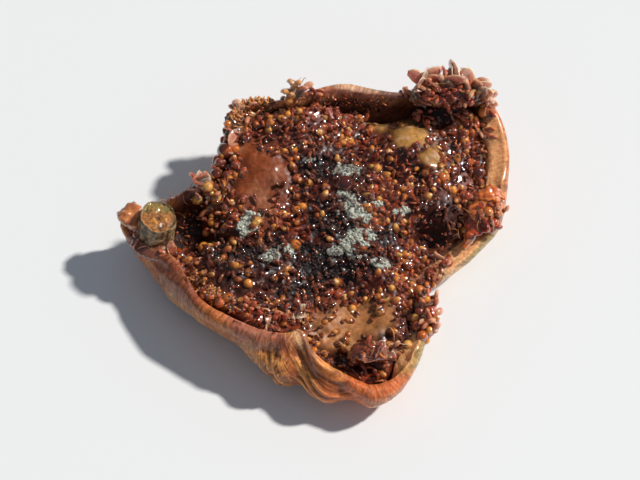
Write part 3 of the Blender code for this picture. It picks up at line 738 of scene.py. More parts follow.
jelly = patch(bed_vertices, JELLY_PLACES, 0.55, 8, 0.5)
tan_jelly = patch(bed_vertices, TAN_PLACES, 0.7, 8, 0.4)
low_jelly = patch(bed_vertices, LOW_JELLY_PLACES, 0.5, 8, 0.5)
shaded_hollow = patch(bed_vertices, HOLLOW_PLACES, 0.4, 9, 0.5)
black = patch(bed_vertices, BLACK_PLACES, 0.9, 12, 0.4)
mould = patch(bed_vertices, MOULD_PLACES, 1.3, 10, 0.1, 1.0 * MM)
sparse_and_shaded = patch(bed_vertices, SPARSE_AND_SHADED_PLACES, 0.5, 13, 0.5)
haze = clouds(bed_vertices, 3.0 * MM, 63)
pulp_tint = painted(len(bed_vertices), PULP_RED, (
    (PULP_DARK, smooth(0.55, 0.30, haze) * 0.8),
    (PULP_ORANGE, smooth(0.55, 0.8, haze) * 0.6),
    (PULP_ORANGE, smooth(0.86, 1.0, bed_climb) * 0.6),
    # painted light and shade: orange on the raised grain of the bed, dark in the low spots between
    (PULP_ORANGE, smooth(0.58, 0.85, bed_rise) * 0.8),
    (PULP_DARK, smooth(0.45, 0.2, bed_rise) * 0.85),
    # darker where the fruitlets thin out; in the cavity under the crown and in the hollows this is painted
    # shade
    (PULP_DARK, sparse_and_shaded * 0.85),
    (JELLY, jelly * (0.45 + 0.55 * smooth(0.3, 0.6, haze))),
    (LOW_JELLY, low_jelly * 0.9),
    (PALE_JELLY, (low_jelly + 0.25 * jelly) * smooth(0.5, 0.75, haze) * 0.6),
    (TAN_JELLY, tan_jelly * (0.6 + 0.4 * smooth(0.3, 0.6, haze))),
    (PALE_JELLY, tan_jelly * smooth(0.5, 0.8, bed_rise) * 0.7),
    # painted shade: dark in the deep hollows
    (PULP_DARK, shaded_hollow * 0.9),
    (BLACK_ROT, black * 0.95),
    (MOULD_GREY, smooth(0.45, 0.9, mould)),
))
store(pulp_bed.data, "tint", pulp_tint)
# The fruitlets read this to darken: the black rot, and where they thin out, which is partly painted shade.
store(pulp_bed.data, "black", np.maximum(black, 0.75 * sparse_and_shaded))
calm = np.clip(jelly + tan_jelly + low_jelly, 0, 1)
store(pulp_bed.data, "relief", 0.5 - 0.12 * calm)
store(pulp_bed.data, "gloss", np.clip(0.8 - 0.6 * calm - 0.65 * np.maximum(black, sparse_and_shaded), 0.06, 0.8))
bare = np.clip(1 - jelly - tan_jelly - 0.8 * low_jelly - 0.55 * shaded_hollow - mould - 0.5 * black, 0, 1)
clumps = 0.35 + 0.65 * smooth(0.38, 0.62, clouds(bed_vertices, 4.5 * MM, 64))
store(pulp_bed.data, "fruitlets", bare * clumps * (1 - 0.72 * sparse_and_shaded) * is_top)
store(pulp_bed.data, "grains",
      np.clip(1 - jelly - tan_jelly - 0.8 * low_jelly - 0.3 * shaded_hollow - mould - 0.4 * sparse_and_shaded, 0, 1) * is_top)
store(pulp_bed.data, "rot", black * (1 - mould) * is_top)
store(pulp_bed.data, "crust", mould * is_top)
print("share of the bed in mould:", round(float((mould * is_top).mean()), 4))

# %% [markdown]
# ## Wet flesh as a material
# All the flesh is wet, so it has a clear glossy coat over a softer body, and a little light passes
# through it. Three shader groups are shared. One turns the tint lighter and darker in fine grain,
# one gives the height of the fine relief that breaks up the gloss, and one draws streaks along torn
# skin. Each material sets its own scale and strength.

# %% Shared shader groups
def new_tree(name, kind, inputs, output, output_kind):
    """A tree with these named inputs and one output: the tree and its inputs' sockets."""
    tree = bpy.data.node_groups.new(name, kind)
    for label, (socket_kind, value) in inputs.items():
        item = tree.interface.new_socket(name=label, in_out="INPUT", socket_type="NodeSocket" + socket_kind)
        if value is not None:
            item.default_value = value
    tree.interface.new_socket(name=output, in_out="OUTPUT", socket_type="NodeSocket" + output_kind)
    return tree, tree.nodes.new("NodeGroupInput").outputs


def noise_at(tree, place, scale, detail, roughness=0.5):
    """A noise field over these places."""
    return put(tree, "ShaderNodeTexNoise",
               {"Vector": place, "Scale": scale, "Detail": detail, "Roughness": roughness}, "Fac")


def shaded(tree, source, field, low, high, dark, light):
    """The tint made dark where the field is low and light where it is high."""
    reach = {"From Min": low, "From Max": high, "To Min": dark, "To Max": light}
    spread = put(tree, "ShaderNodeMapRange", {"Value": field} | reach, "Result")
    return put(tree, "ShaderNodeMix", {"Factor": source["Strength"], "A": source["Tint"], "B": spread},
               "Result", data_type="RGBA", blend_type="MULTIPLY")


def grain_group():
    """Tint in, tint with fine light and dark grain out."""
    tree, source = new_tree("flesh_grain", "ShaderNodeTree", {
        "Tint": ("Color", (0.5, 0.2, 0.1, 1)), "Scale": ("Float", 900.0), "Strength": ("Float", 0.5)},
        "Tint", "Color")
    place = put(tree, "ShaderNodeTexCoord", {}, "Object")
    grain = noise_at(tree, place, source["Scale"], 5, 0.65)
    put(tree, "NodeGroupOutput", {"Tint": shaded(tree, source, grain, 0.3, 0.7, 0.45, 1.55)})
    return tree


def relief_group():
    """The height of the fine wet relief: small cells and finer noise."""
    tree, source = new_tree("wet_relief", "ShaderNodeTree", {
        "Cells": ("Float", 1500.0), "Noise": ("Float", 3000.0), "Share": ("Float", 0.5)}, "Height", "Float")
    place = put(tree, "ShaderNodeTexCoord", {}, "Object")
    cells = put(tree, "ShaderNodeTexVoronoi", {"Vector": place, "Scale": source["Cells"]}, "Distance",
                feature="SMOOTH_F1")
    fine = noise_at(tree, place, source["Noise"], 4)
    height = put(tree, "ShaderNodeMix", {"Factor": source["Share"], "A": cells, "B": fine}, "Result")
    put(tree, "NodeGroupOutput", {"Height": height})
    return tree


def streak_group():
    """Fine streaks along the flow of the skin: a darker tint and a height."""
    tree, source = new_tree("flow_streaks", "ShaderNodeTree", {
        "Tint": ("Color", (0.5, 0.2, 0.1, 1)), "Scale": ("Float", 2400.0), "Strength": ("Float", 0.6)},
        "Tint", "Color")
    tree.interface.new_socket(name="Height", in_out="OUTPUT", socket_type="NodeSocketFloat")
    flow = put(tree, "ShaderNodeAttribute", {}, "Vector", attribute_name="flow")
    streaks = noise_at(tree, flow, source["Scale"], 4, 0.6)
    put(tree, "NodeGroupOutput", {"Tint": shaded(tree, source, streaks, 0.36, 0.60, 0.35, 1.45),
                                  "Height": streaks})
    return tree


FLESH_GRAIN, WET_RELIEF, FLOW_STREAKS = grain_group(), relief_group(), streak_group()
print("groups:", FLESH_GRAIN.name, WET_RELIEF.name, FLOW_STREAKS.name)

# %% The fruit's material
COAT_ROUGHNESS, SPECULAR = 0.06, 0.25
SCATTER_RADIUS, SCATTER_SCALE = (1.0, 0.35, 0.12), 0.9 * MM
RELIEF_DISTANCE, RIDGE_DISTANCE, RIDGE_DEPTH = 0.3 * MM, 0.25 * MM, 0.7
STREAK_SCALE = 2400.0
CLEAN, ROTTEN = 1.0, 0.3


def attribute(tree, name, out="Fac"):
    """What the mesh keeps under this name."""
    return put(tree, "ShaderNodeAttribute", {}, out, attribute_name=name)


def ramped(tree, colours, steps, root):
    """A tone ramp that turns to the root's colour, painted shade, below the lit crown and in the rot."""
    ramp = put(tree, "ShaderNodeValToRGB", {"Fac": attribute(tree, "tone")})
    stops = ramp.color_ramp.elements
    while len(stops) < len(colours):
        stops.new(0.5)
    for number, (stop, colour) in enumerate(zip(stops, colours)):
        stop.position = steps[number] if steps else number / (len(colours) - 1)
        stop.color = (*colour, 1)
    clean = put(tree, "ShaderNodeMapRange", {"Value": attribute(tree, "black"), "To Min": CLEAN,
                                             "To Max": ROTTEN}, "Result")
    lit = put(tree, "ShaderNodeMath", {0: clean, 1: attribute(tree, "crown")}, "Value", operation="MULTIPLY")
    return put(tree, "ShaderNodeMix", {"Factor": lit, "A": (*root, 1), "B": ramp.outputs["Color"]}, "Result",
               data_type="RGBA")


def fruit_material(name, roughness, coat, soft, grain=(900, 0.5), relief=(1500, 3000, 0.5), depth=0.2,
                   colours=None, steps=None, root=(0.045, 0.008, 0.004), streaks=0.0, gloss=2.4):
    """A fleshy material: a vertex tint, or a tone ramp that darkens to each shape's root as painted shade."""
    material = bpy.data.materials.new(name)
    material.use_nodes = True
    tree = material.node_tree
    tint = ramped(tree, colours, steps, root) if colours else attribute(tree, "tint", "Color")
    tint = put(tree, "ShaderNodeGroup", {"Scale": grain[0], "Strength": grain[1], "Tint": tint}, "Tint",
               node_tree=FLESH_GRAIN)
    height = put(tree, "ShaderNodeGroup", {"Cells": relief[0], "Noise": relief[1], "Share": relief[2]},
                 "Height", node_tree=WET_RELIEF)
    normal = put(tree, "ShaderNodeBump", {"Strength": depth, "Distance": RELIEF_DISTANCE, "Height": height},
                 "Normal")
    if streaks:
        lines = put(tree, "ShaderNodeGroup", {"Scale": STREAK_SCALE, "Strength": streaks, "Tint": tint},
                    node_tree=FLOW_STREAKS, name="Streaks")
        tint = lines.outputs["Tint"]
        normal = put(tree, "ShaderNodeBump", {"Strength": RIDGE_DEPTH, "Distance": RIDGE_DISTANCE,
                                              "Height": lines.outputs["Height"], "Normal": normal}, "Normal")
    shader = tree.nodes["Principled BSDF"]
    tree.links.new(tint, shader.inputs["Base Color"])
    tree.links.new(normal, shader.inputs["Normal"])
    for socket, value in (("Roughness", roughness), ("Coat Weight", coat), ("Coat Roughness", COAT_ROUGHNESS),
                          ("Coat IOR", gloss), ("Specular IOR Level", SPECULAR), ("Subsurface Weight", soft),
                          ("Subsurface Radius", SCATTER_RADIUS), ("Subsurface Scale", SCATTER_SCALE)):
        shader.inputs[socket].default_value = value
    return material


def drive(material, name, node, socket):
    """Lets an attribute of the mesh set this socket of a material."""
    tree = material.node_tree
    tree.links.new(attribute(tree, name), tree.nodes[node].inputs[socket])


rind_flesh = fruit_material("rind_flesh", 0.40, 0.35, 0.3, (1700, 0.6), (1500, 3200, 0.55), 0.5, streaks=0.6,
                            gloss=1.65)
pulp_flesh = fruit_material("pulp_flesh", 0.42, 0.8, 0.35, (1500, 0.7), (1100, 2200, 0.3), 0.5, gloss=1.8)
drive(pulp_flesh, "gloss", "Principled BSDF", "Coat Weight")
drive(pulp_flesh, "relief", "Bump", "Strength")
drive(rind_flesh, "streaky", "Streaks", "Strength")
rind_skin.data.materials.append(rind_flesh)
pulp_bed.data.materials.append(pulp_flesh)
print("materials:", rind_flesh.name, pulp_flesh.name)

# %% [markdown]
# ## Trees that scatter and seat small shapes
# Fruitlets, seeds, grains of mould and florets all repeat. One Geometry Nodes tree spreads points
# over the bed where a mask allows them, no two nearer than a set distance, and gives each point its
# size, the way it leans and a tone for its colour. A second tree seats a small shape on every point.
# The result becomes a plain mesh at once.

# %% The two trees
STRETCH_LEAST, STRETCH_MOST, STRETCH_SEED = (0.8, 0.8, 0.8), (1.15, 1.15, 1.3), 9
OFF_LEAST, OFF_MOST, TONE_SEED = (-1, -1, -0.2), (1, 1, 1), 5
FULL_TURN = 6.283


def random_vector(tree, least, most, seed):
    """A random vector for each point."""
    return put(tree, "FunctionNodeRandomValue", {"Min": least, "Max": most, "Seed": seed}, "Value",
               data_type="FLOAT_VECTOR")


def spread_tree():
    """Points over a mesh where a mask allows them, with aim, size and tone."""
    tree, source = new_tree("spread_points", "GeometryNodeTree", {
        "Bed": ("Geometry", None), "Where": ("String", "fruitlets"), "Apart": ("Float", 1.2 * MM),
        "Density": ("Float", 9e5), "Smallest": ("Float", 0.5 * MM), "Largest": ("Float", 0.8 * MM),
        "Lean": ("Float", 0.4), "Seed": ("Int", 1)}, "Points", "Geometry")
    tree.is_modifier = True
    seed = source["Seed"]
    mask = put(tree, "GeometryNodeInputNamedAttribute", {"Name": source["Where"]}, "Attribute",
               data_type="FLOAT")
    spread = put(tree, "GeometryNodeDistributePointsOnFaces", {
        "Mesh": source["Bed"], "Distance Min": source["Apart"], "Density Max": source["Density"],
        "Density Factor": mask, "Seed": seed}, distribute_method="POISSON")
    width = put(tree, "FunctionNodeRandomValue",
                {"Min": source["Smallest"], "Max": source["Largest"], "Seed": seed}, "Value")
    stretch = random_vector(tree, STRETCH_LEAST, STRETCH_MOST, STRETCH_SEED)
    size = put(tree, "ShaderNodeVectorMath", {0: stretch, "Scale": width}, "Vector", operation="SCALE")
    tone = put(tree, "FunctionNodeRandomValue", {"Seed": TONE_SEED}, "Value")
    off = random_vector(tree, OFF_LEAST, OFF_MOST, seed)
    lean = put(tree, "ShaderNodeVectorMath", {0: off, "Scale": source["Lean"]}, "Vector", operation="SCALE")
    aim = put(tree, "ShaderNodeVectorMath", {0: spread.outputs["Normal"], 1: lean}, "Vector", operation="ADD")
    points = spread.outputs["Points"]
    for name, kind, value in (("aim", "FLOAT_VECTOR", aim), ("size", "FLOAT_VECTOR", size),
                              ("tone", "FLOAT", tone)):
        points = put(tree, "GeometryNodeStoreNamedAttribute",
                     {"Name": name, "Geometry": points, "Value": value}, "Geometry",
                     data_type=kind, domain="POINT")
    put(tree, "NodeGroupOutput", {"Points": points})
    return tree


def seat_tree():
    """Seats a shape on each point, turned to its aim and scaled to its size."""
    tree, source = new_tree("seat_shapes", "GeometryNodeTree", {
        "Points": ("Geometry", None), "Shape": ("Object", None), "Material": ("Material", None),
        "Seed": ("Int", 1)}, "Shapes", "Geometry")
    tree.is_modifier = True
    aim, size = (put(tree, "GeometryNodeInputNamedAttribute", {"Name": name}, "Attribute",
                     data_type="FLOAT_VECTOR") for name in ("aim", "size"))
    spin = random_vector(tree, (0, 0, 0), (0, 0, FULL_TURN), source["Seed"])
    turn = put(tree, "FunctionNodeEulerToRotation", {0: spin}, "Rotation")
    align = put(tree, "FunctionNodeAlignRotationToVector", {"Rotation": turn, "Vector": aim}, "Rotation",
                axis="Z")
    shape = put(tree, "GeometryNodeObjectInfo", {"Object": source["Shape"]}, "Geometry")
    seat = put(tree, "GeometryNodeInstanceOnPoints",
               {"Points": source["Points"], "Instance": shape, "Rotation": align, "Scale": size}, "Instances")
    real = put(tree, "GeometryNodeRealizeInstances", {"Geometry": seat}, "Geometry")
    coated = put(tree, "GeometryNodeSetMaterial", {"Geometry": real, "Material": source["Material"]},
                 "Geometry")
    put(tree, "NodeGroupOutput", {"Shapes": coated})
    return tree


SPREAD, SEAT = spread_tree(), seat_tree()


def add_tree(obj, tree, values):
    """Adds a tree as a modifier and sets its inputs by their identifiers."""
    modifier = obj.modifiers.new(tree.name, "NODES")
    modifier.node_group = tree
    for item in tree.interface.items_tree:
        if item.in_out == "INPUT" and item.name in values:
            modifier[item.identifier] = values[item.name]


def grown(name, mesh, steps):
    """Runs these trees on a mesh and returns the result as a plain object."""
    obj = bpy.data.objects.new(name, mesh)
    bpy.context.scene.collection.objects.link(obj)
    for tree, values in steps:
        add_tree(obj, tree, values)
    graph = bpy.context.evaluated_depsgraph_get()
    result = bpy.data.meshes.new_from_object(obj.evaluated_get(graph), preserve_all_data_layers=True,
                                             depsgraph=graph)
    obj.modifiers.clear()
    obj.data = result
    result.name = name
    result.shade_smooth()
    result.calc_loop_triangles()
    print(name, "has", len(result.loop_triangles), "triangles")
    return obj


def hidden_shape(name, bm, crown):
    """A small shape that the trees copy, with its faces in a fixed order. The crown is 1 where it is lit."""
    mesh = bpy.data.meshes.new(name)
    bm.verts.index_update()
    faces = [[v.index for v in face.verts] for face in bm.faces]
    starts = [face.index(min(face)) for face in faces]
    faces = sorted(face[start:] + face[:start] for face, start in zip(faces, starts))
    mesh.from_pydata([tuple(v.co) for v in bm.verts], [], faces)
    bm.free()
    store(mesh, "crown", crown(np.array([v.co for v in mesh.vertices])))
    return bpy.data.objects.new(name, mesh)


print("trees:", SPREAD.name, SEAT.name)

# %% [markdown]
# ## Fruitlets, seeds and grains
# Each fruitlet is a bead of jelly round a hard seed. From above it shows as an amber or red bead with
# a glint, and where the jelly has gone the golden seed lies bare. A low sphere of a few dozen faces is
# enough for a bead this small. The black rot and the wet pulp between the fruitlets get finer grains.

# %% The small shapes
BEAD_SUNK, SHRED_GIRTH = 0.38, 0.24


def bead_shape(name, segments, rings, length, narrow):
    """A round or pear-shaped bead of radius 1, standing a little above its root."""
    bm = bmesh.new()
    bmesh.ops.create_uvsphere(bm, u_segments=segments, v_segments=rings, radius=1)
    for v in bm.verts:
        taper = 1 - narrow * v.co.z
        v.co = Vector((v.co.x * taper, v.co.y * taper, v.co.z * length - BEAD_SUNK * length))
    return hidden_shape(name, bm, lambda at: smooth(-0.6, 0.6, at[:, 2]))


def grain_shape(name):
    """A small angular grain."""
    bm = bmesh.new()
    bmesh.ops.create_icosphere(bm, subdivisions=1, radius=1)
    for i, v in enumerate(bm.verts):
        v.co *= 0.8 + 0.4 * ((i * 7) % 5) / 4
    return hidden_shape(name, bm, lambda at: smooth(-0.9, 0.4, at[:, 2]))


def bent_finger(name, sides, girth, widths, curl, flat=1.0, wave=0.0, rim=0.0):
    """A closed finger of length 1 that starts along +Z and curls over: widths go from root to tip."""
    rings, crown = [], []
    for step, width in enumerate(widths):
        t = step / (len(widths) - 1)
        turn = curl * t
        middle = np.array(((1 - math.cos(turn)) / curl, wave * math.sin(6 * t), math.sin(turn) / curl - 0.14))
        across = np.array((math.cos(turn), 0, -math.sin(turn)))
        turns = np.linspace(0, 2 * math.pi, sides, endpoint=False)[:, None]
        ring = np.cos(turns) * across * width * girth
        ring = ring + np.sin(turns) * np.array((0, 1, 0)) * width * girth * flat
        rings.append(ring + middle)
        # Painted light and shade: the crown is dark at the root and light at the tip, and with rim set the
        # faces are darker than the edges.
        crown.extend(smooth(-0.2, 0.8, t) * (1 - rim * np.sin(turns[:, 0]) ** 2))
    mesh = bpy.data.meshes.new(name)
    mesh.from_pydata(shell_of(rings).tolist(), [], closed_rings(rings))
    store(mesh, "crown", crown + [crown[0], crown[-1]])
    return bpy.data.objects.new(name, mesh)


bead = bead_shape("bead", 9, 6, 1.25, 0.2)
seed_shape = bead_shape("seed", 10, 7, 1.55, 0.26)
grain = grain_shape("grain")
drop_shape = bead_shape("drop", 6, 4, 0.8, 0.0)
shred = bent_finger("shred", 5, SHRED_GIRTH, (0.6, 1.0, 0.8, 0.95, 0.5), 1.4, 0.6)
BEAD_COLOURS = ((0.08, 0.010, 0.003), (0.20, 0.025, 0.005), (0.50, 0.080, 0.012), (0.82, 0.29, 0.038),
                (0.54, 0.10, 0.015), (0.28, 0.05, 0.016))
SHRED_COLOURS = ((0.06, 0.008, 0.003), (0.19, 0.023, 0.005), (0.40, 0.068, 0.014), (0.54, 0.15, 0.045),
                 (0.22, 0.035, 0.008))
SEED_COLOURS = ((0.38, 0.10, 0.014), (0.64, 0.22, 0.030), (0.80, 0.40, 0.09), (0.54, 0.15, 0.020))
ROT_COLOURS = ((0.004, 0.003, 0.003), (0.006, 0.005, 0.005), (0.02, 0.018, 0.016), (0.75, 0.75, 0.68))
CRUST_COLOURS = ((0.38, 0.375, 0.29), (0.58, 0.57, 0.46), (0.80, 0.79, 0.68))
bead_skin = fruit_material("fruitlet_skin", 0.20, 1.0, 0.5, (1900, 0.8), (1200, 2600, 0.4), 0.2, BEAD_COLOURS)
seed_coat = fruit_material("seed_coat", 0.30, 0.8, 0.25, (2200, 0.8), (2600, 5200, 0.5), 0.3, SEED_COLOURS,
                           root=(0.16, 0.025, 0.005))
shred_skin = fruit_material("shred_skin", 0.22, 1.0, 0.3, (1900, 0.7), (1300, 2600, 0.4), 0.25, SHRED_COLOURS)
juice = fruit_material("juice", 0.12, 1.0, 0.2, (1500, 0.4), (900, 2600, 0.3), 0.1, SHRED_COLOURS, gloss=4.0)
rot_grit = fruit_material("rot_grit", 0.20, 1.0, 0.0, (2000, 0.3), (2000, 4000, 0.5), 0.1, ROT_COLOURS,
                          (0, 0.6, 0.93, 0.985))
mould_crust = fruit_material("mould_crust", 0.92, 0.0, 0.0, (3000, 0.7), (5000, 8000, 0.6), 0.6,
                             CRUST_COLOURS)
print("bead faces:", len(bead.data.polygons), "seed faces:", len(seed_shape.data.polygons))

# %% Scatter them over the bed
def scattered(name, carrier, where, apart, density, smallest, largest, lean, seed, shape, skin, spin):
    """Spreads points over a piece where a mask allows them, sizes in mm, and seats a shape on each."""
    spread = {"Where": where, "Apart": apart * MM, "Density": density, "Smallest": smallest * MM,
              "Largest": largest * MM, "Lean": lean, "Seed": seed}
    return grown(name, carrier.data.copy(),
                 [(SPREAD, spread), (SEAT, {"Shape": shape, "Material": skin, "Seed": spin})])


fruitlets = scattered("fruitlets", pulp_bed, "fruitlets", 0.95, 1.6e6, 0.45, 0.98, 0.9, 3, bead, bead_skin, 1)
pulp_seeds = scattered("pulp_seeds", pulp_bed, "fruitlets", 1.45, 7e5, 0.46, 0.66, 1.6, 8, seed_shape,
                       seed_coat, 12)
pulp_shreds = scattered("pulp_shreds", pulp_bed, "grains", 0.60, 3e6, 0.7, 1.6, 1.8, 4, shred, shred_skin, 2)
black_grit = scattered("black_grit", pulp_bed, "rot", 0.34, 6e6, 0.10, 0.32, 0.9, 5, grain, rot_grit, 3)
mould_grains = scattered("mould_grains", pulp_bed, "crust", 0.22, 1.2e7, 0.10, 0.30, 0.7, 6, grain,
                         mould_crust, 4)
juice_drops = scattered("juice_drops", fruitlets, "crown", 0.5, 6e6, 0.16, 0.38, 0.3, 9, drop_shape,
                        juice, 14)
fine_drops = scattered("fine_drops", pulp_shreds, "crown", 0.7, 3e6, 0.16, 0.38, 0.3, 9, drop_shape,
                       juice, 17)
rim_beads = scattered("rim_beads", rind_skin, "spill", 0.95, 1.6e6, 0.42, 0.85, 1.0, 7, bead, bead_skin, 5)
wall_shreds = scattered("wall_shreds", rind_skin, "lining", 0.5, 4e6, 0.5, 1.2, 1.6, 10, shred,
                        shred_skin, 16)

# %% [markdown]
# ## Flaps of torn tissue
# On the right and at the stalk's tip, wide tongues of wet tissue hang over the rim. Each is a closed
# flat tube along a few points, thin at its sides and uneven along its edge.

# %% Shape the flaps
FLAP_COLOURS = {"shaded_lobe": (0.12, 0.022, 0.010), "red": (0.54, 0.065, 0.012), "orange": (0.74, 0.18, 0.030),
                "peach": (0.62, 0.21, 0.06), "umber": (0.16, 0.08, 0.05),
                "maroon": (0.15, 0.025, 0.012), "bark": (0.27, 0.085, 0.045)}
FLAPS = (
    # painted shade: the thick flap under the crown is near-black maroon on its shaded front
    ("shaded_lobe", (((408, 101, 11.4), (426, 93, 12.4), (446, 91, 13.0), (466, 91, 13.0), (484, 102, 12.2)),
              (2.6, 4.2, 4.8, 4.8, 2.6), 3.0)),
    ("red",
     (((416, 288, 7.2), (426, 302, 7.8), (430, 320, 7.8), (425, 340, 7.0)), (1.8, 2.6, 2.8, 1.8), 1.8)),
    ("maroon",
     (((350, 362, 7.2), (360, 352, 8.6), (374, 350, 9.0), (388, 360, 7.8)), (2.2, 3.2, 3.0, 1.8), 2.4)),
    ("orange",
     (((356, 356, 8.6), (366, 348, 10.0), (378, 350, 9.8), (386, 358, 8.8)), (1.0, 1.5, 1.3, 0.7), 0.6)),
    ("bark",
     (((134, 232, 7.6), (144, 245, 8.2), (160, 253, 8.4), (177, 247, 8.0)), (2.0, 3.0, 3.0, 1.8), 1.8)),
    ("orange",
     (((468, 212, 8.8), (480, 208, 9.6), (492, 206, 9.4), (503, 210, 8.4)), (2.6, 4.0, 3.6, 1.8), 0.5)),
    ("red",
     (((464, 226, 7.6), (476, 222, 8.6), (488, 218, 8.6), (500, 222, 7.4)), (2.8, 4.2, 3.4, 1.4), 0.5)),
    ("orange",
     (((478, 196, 9.2), (488, 194, 10.2), (498, 194, 10.0), (505, 200, 9.2)), (2.0, 2.8, 2.4, 1.2), 0.5)),
    ("orange",
     (((462, 248, 7.0), (468, 240, 8.0), (474, 232, 8.0), (480, 226, 7.4)), (1.6, 2.2, 2.0, 0.9), 0.5)),
    ("peach",
     (((148, 224, 8.0), (138, 217, 10.2), (128, 213, 10.4), (117, 214, 9.2)), (2.4, 4.2, 3.4, 1.2), 0.7)),
    ("red",
     (((146, 232, 7.0), (138, 229, 8.2), (131, 228, 7.8), (125, 224, 7.2)), (2.2, 3.2, 2.6, 1.0), 0.8)),
    ("peach",
     (((212, 188, 10.4), (207, 183, 11.8), (202, 181, 12.4), (196, 184, 11.6)), (1.4, 2.4, 2.2, 1.0), 0.5)),
    ("umber",
     (((244, 132, 11.4), (238, 126, 12.6), (233, 119, 13.0), (236, 110, 12.4)), (2.6, 3.6, 3.2, 1.6), 0.6)),
    ("orange",
     (((288, 106, 12.2), (291, 98, 13.6), (295, 91, 14.4), (300, 86, 14.2)), (1.8, 2.6, 2.2, 1.2), 0.6)),
)
FLAP_RINGS, FLAP_SIDES = 34, 30


def flap_points(path, widths, thick, seed):
    """Rings of a flat tube along these places of the view."""
    corners = np.array([at_height(*place) for place in path])
    steps = np.linspace(0, len(corners) - 1, FLAP_RINGS)
    line = np.stack([np.interp(steps, range(len(corners)), corners[:, axis]) for axis in range(3)], axis=-1)
    for _ in range(6):
        line[1:-1] = (line[:-2] + line[1:-1] * 2 + line[2:]) / 4
    wide = np.interp(steps, range(len(widths)), widths) * MM / 2
    ends = np.sqrt(np.clip(1 - np.linspace(-1, 1, FLAP_RINGS) ** 6, 0.02, 1))
    ahead = np.gradient(line, axis=0)
    ahead /= np.linalg.norm(ahead, axis=1)[:, None]
    side = np.cross(ahead, (0, 0, 1))
    side /= np.linalg.norm(side, axis=1)[:, None]
    up = np.cross(side, ahead)
    turns = np.linspace(0, 2 * math.pi, FLAP_SIDES, endpoint=False)
    rings = []
    for middle, half, end, across, above in zip(line, wide, ends, side, up):
        flat = np.cos(turns)[:, None] * across * half * end
        tall = np.sin(turns)[:, None] * above * thick * MM / 2 * end
        droop = -above * 0.22 * half * (np.cos(turns) ** 2)[:, None]
        ring = middle + flat + tall + droop
        ragged = 0.65 * clouds(ring, 1.5 * MM, seed) + 0.35 * clouds(ring, 0.6 * MM, seed) - 0.5
        ragged = ragged[:, None] * 2.6 * MM
        groove = np.sin(9 * np.cos(turns) + 0.8 * seed)[:, None] * 0.14 * MM
        rings.append(ring + flat / max(half, 1e-6) * ragged + above * (ragged * 0.45 + groove))
    return rings


def all_flaps():
    """Every flap as one mesh, with its tint."""
    vertices, faces, tints = [], [], []
    for number, (colour, (path, widths, thick)) in enumerate(FLAPS):
        rings = flap_points(path, widths, thick, 80 + number)
        start = sum(len(v) for v in vertices)
        points = shell_of(rings)
        vertices.append(points)
        faces.extend(tuple(i + start for i in face) for face in closed_rings(rings))
        tint = np.tile(np.array(FLAP_COLOURS[colour]), (len(points), 1))
        tint = paint(tint, RUST, smooth(0.5, 0.3, clouds(points, 1.6 * MM, 70 + number)) * 0.8)
        tints.append(paint(tint, CREAM, smooth(0.58, 0.8, clouds(points, 0.9 * MM, 90 + number)) * 0.4))
    return np.concatenate(vertices), faces, np.concatenate(tints)


flap_vertices, flap_faces, flap_tints = all_flaps()
torn_flaps = new_piece("torn_flaps", flap_vertices, flap_faces)
flap_mesh = bmesh.new()
flap_mesh.from_mesh(torn_flaps.data)
bmesh.ops.recalc_face_normals(flap_mesh, faces=flap_mesh.faces)
flap_mesh.to_mesh(torn_flaps.data)
flap_mesh.free()
store(torn_flaps.data, "tint", flap_tints)
flap_skin = fruit_material("flap_skin", 0.26, 0.9, 0.5, (1300, 0.5), (1300, 3200, 0.5), 0.35)
torn_flaps.data.materials.append(flap_skin)
flap_tree = BVHTree.FromObject(torn_flaps, bpy.context.evaluated_depsgraph_get())
print("flaps:", len(FLAPS))

# %% [markdown]
# ## Places on the fig
# Single seeds, tufts and flaps are placed where they show in the view. A line of sight from the
# camera meets the bed or the rind, and that is where the thing is rooted, so that it also sits right
# when it is seen from the side.

# %% Find a root
def first_hit(origin, aim):
    """Where a line first meets the bed, the rind or a flap, and the way the surface faces there."""
    hits = [tree.ray_cast(origin, aim) for tree in (bed_tree, rind_tree, flap_tree)]
    hits = [hit for hit in hits if hit[0] is not None]
    return min(hits, key=lambda hit: hit[3])[:2] if hits else (None, None)


def root_seen(across, down):
    """The root that shows at this place in the view."""
    return first_hit(eye, line_of_sight(across, down))


def root_below(x, y):
    """The root straight below this point."""
    return first_hit(Vector((x, y, 40 * MM)), Vector((0, 0, -1)))


def point_mesh(name, rows):
    """Loose points with their aim, size and tone, for the seating tree."""
    mesh = bpy.data.meshes.new(name)
    mesh.from_pydata([tuple(row[0]) for row in rows], [], [])
    store_vector(mesh, "aim", [tuple(row[1]) for row in rows])
    store_vector(mesh, "size", [tuple(row[2]) for row in rows])
    store(mesh, "tone", [row[3] for row in rows])
    return mesh


# %% Bare golden seeds
SEED_SPOTS = ((308, 182), (322, 214), (377, 168), (325, 187), (328, 194), (296, 224), (295, 198), (395, 226),
              (378, 272), (258, 222), (223, 259), (236, 267), (352, 293), (388, 176), (403, 190), (317, 133),
              (302, 132), (344, 145), (329, 238), (300, 207), (287, 268), (335, 283), (402, 260), (410, 243),
              (420, 250), (365, 300), (318, 300), (284, 300), (249, 300), (230, 250), (211, 247), (291, 165),
              (348, 131), (373, 150), (392, 160), (440, 168), (446, 178), (430, 196), (454, 202), (466, 150),
              (472, 132), (408, 285), (396, 300), (414, 305), (337, 158), (270, 130), (280, 118), (300, 112),
              (352, 311), (347, 320), (326, 322), (378, 310), (385, 301), (343, 344), (334, 332), (395, 332),
              (388, 345), (410, 302), (404, 313), (218, 262), (240, 280), (236, 244), (384, 342))
SEED_SIZE = 0.60 * MM


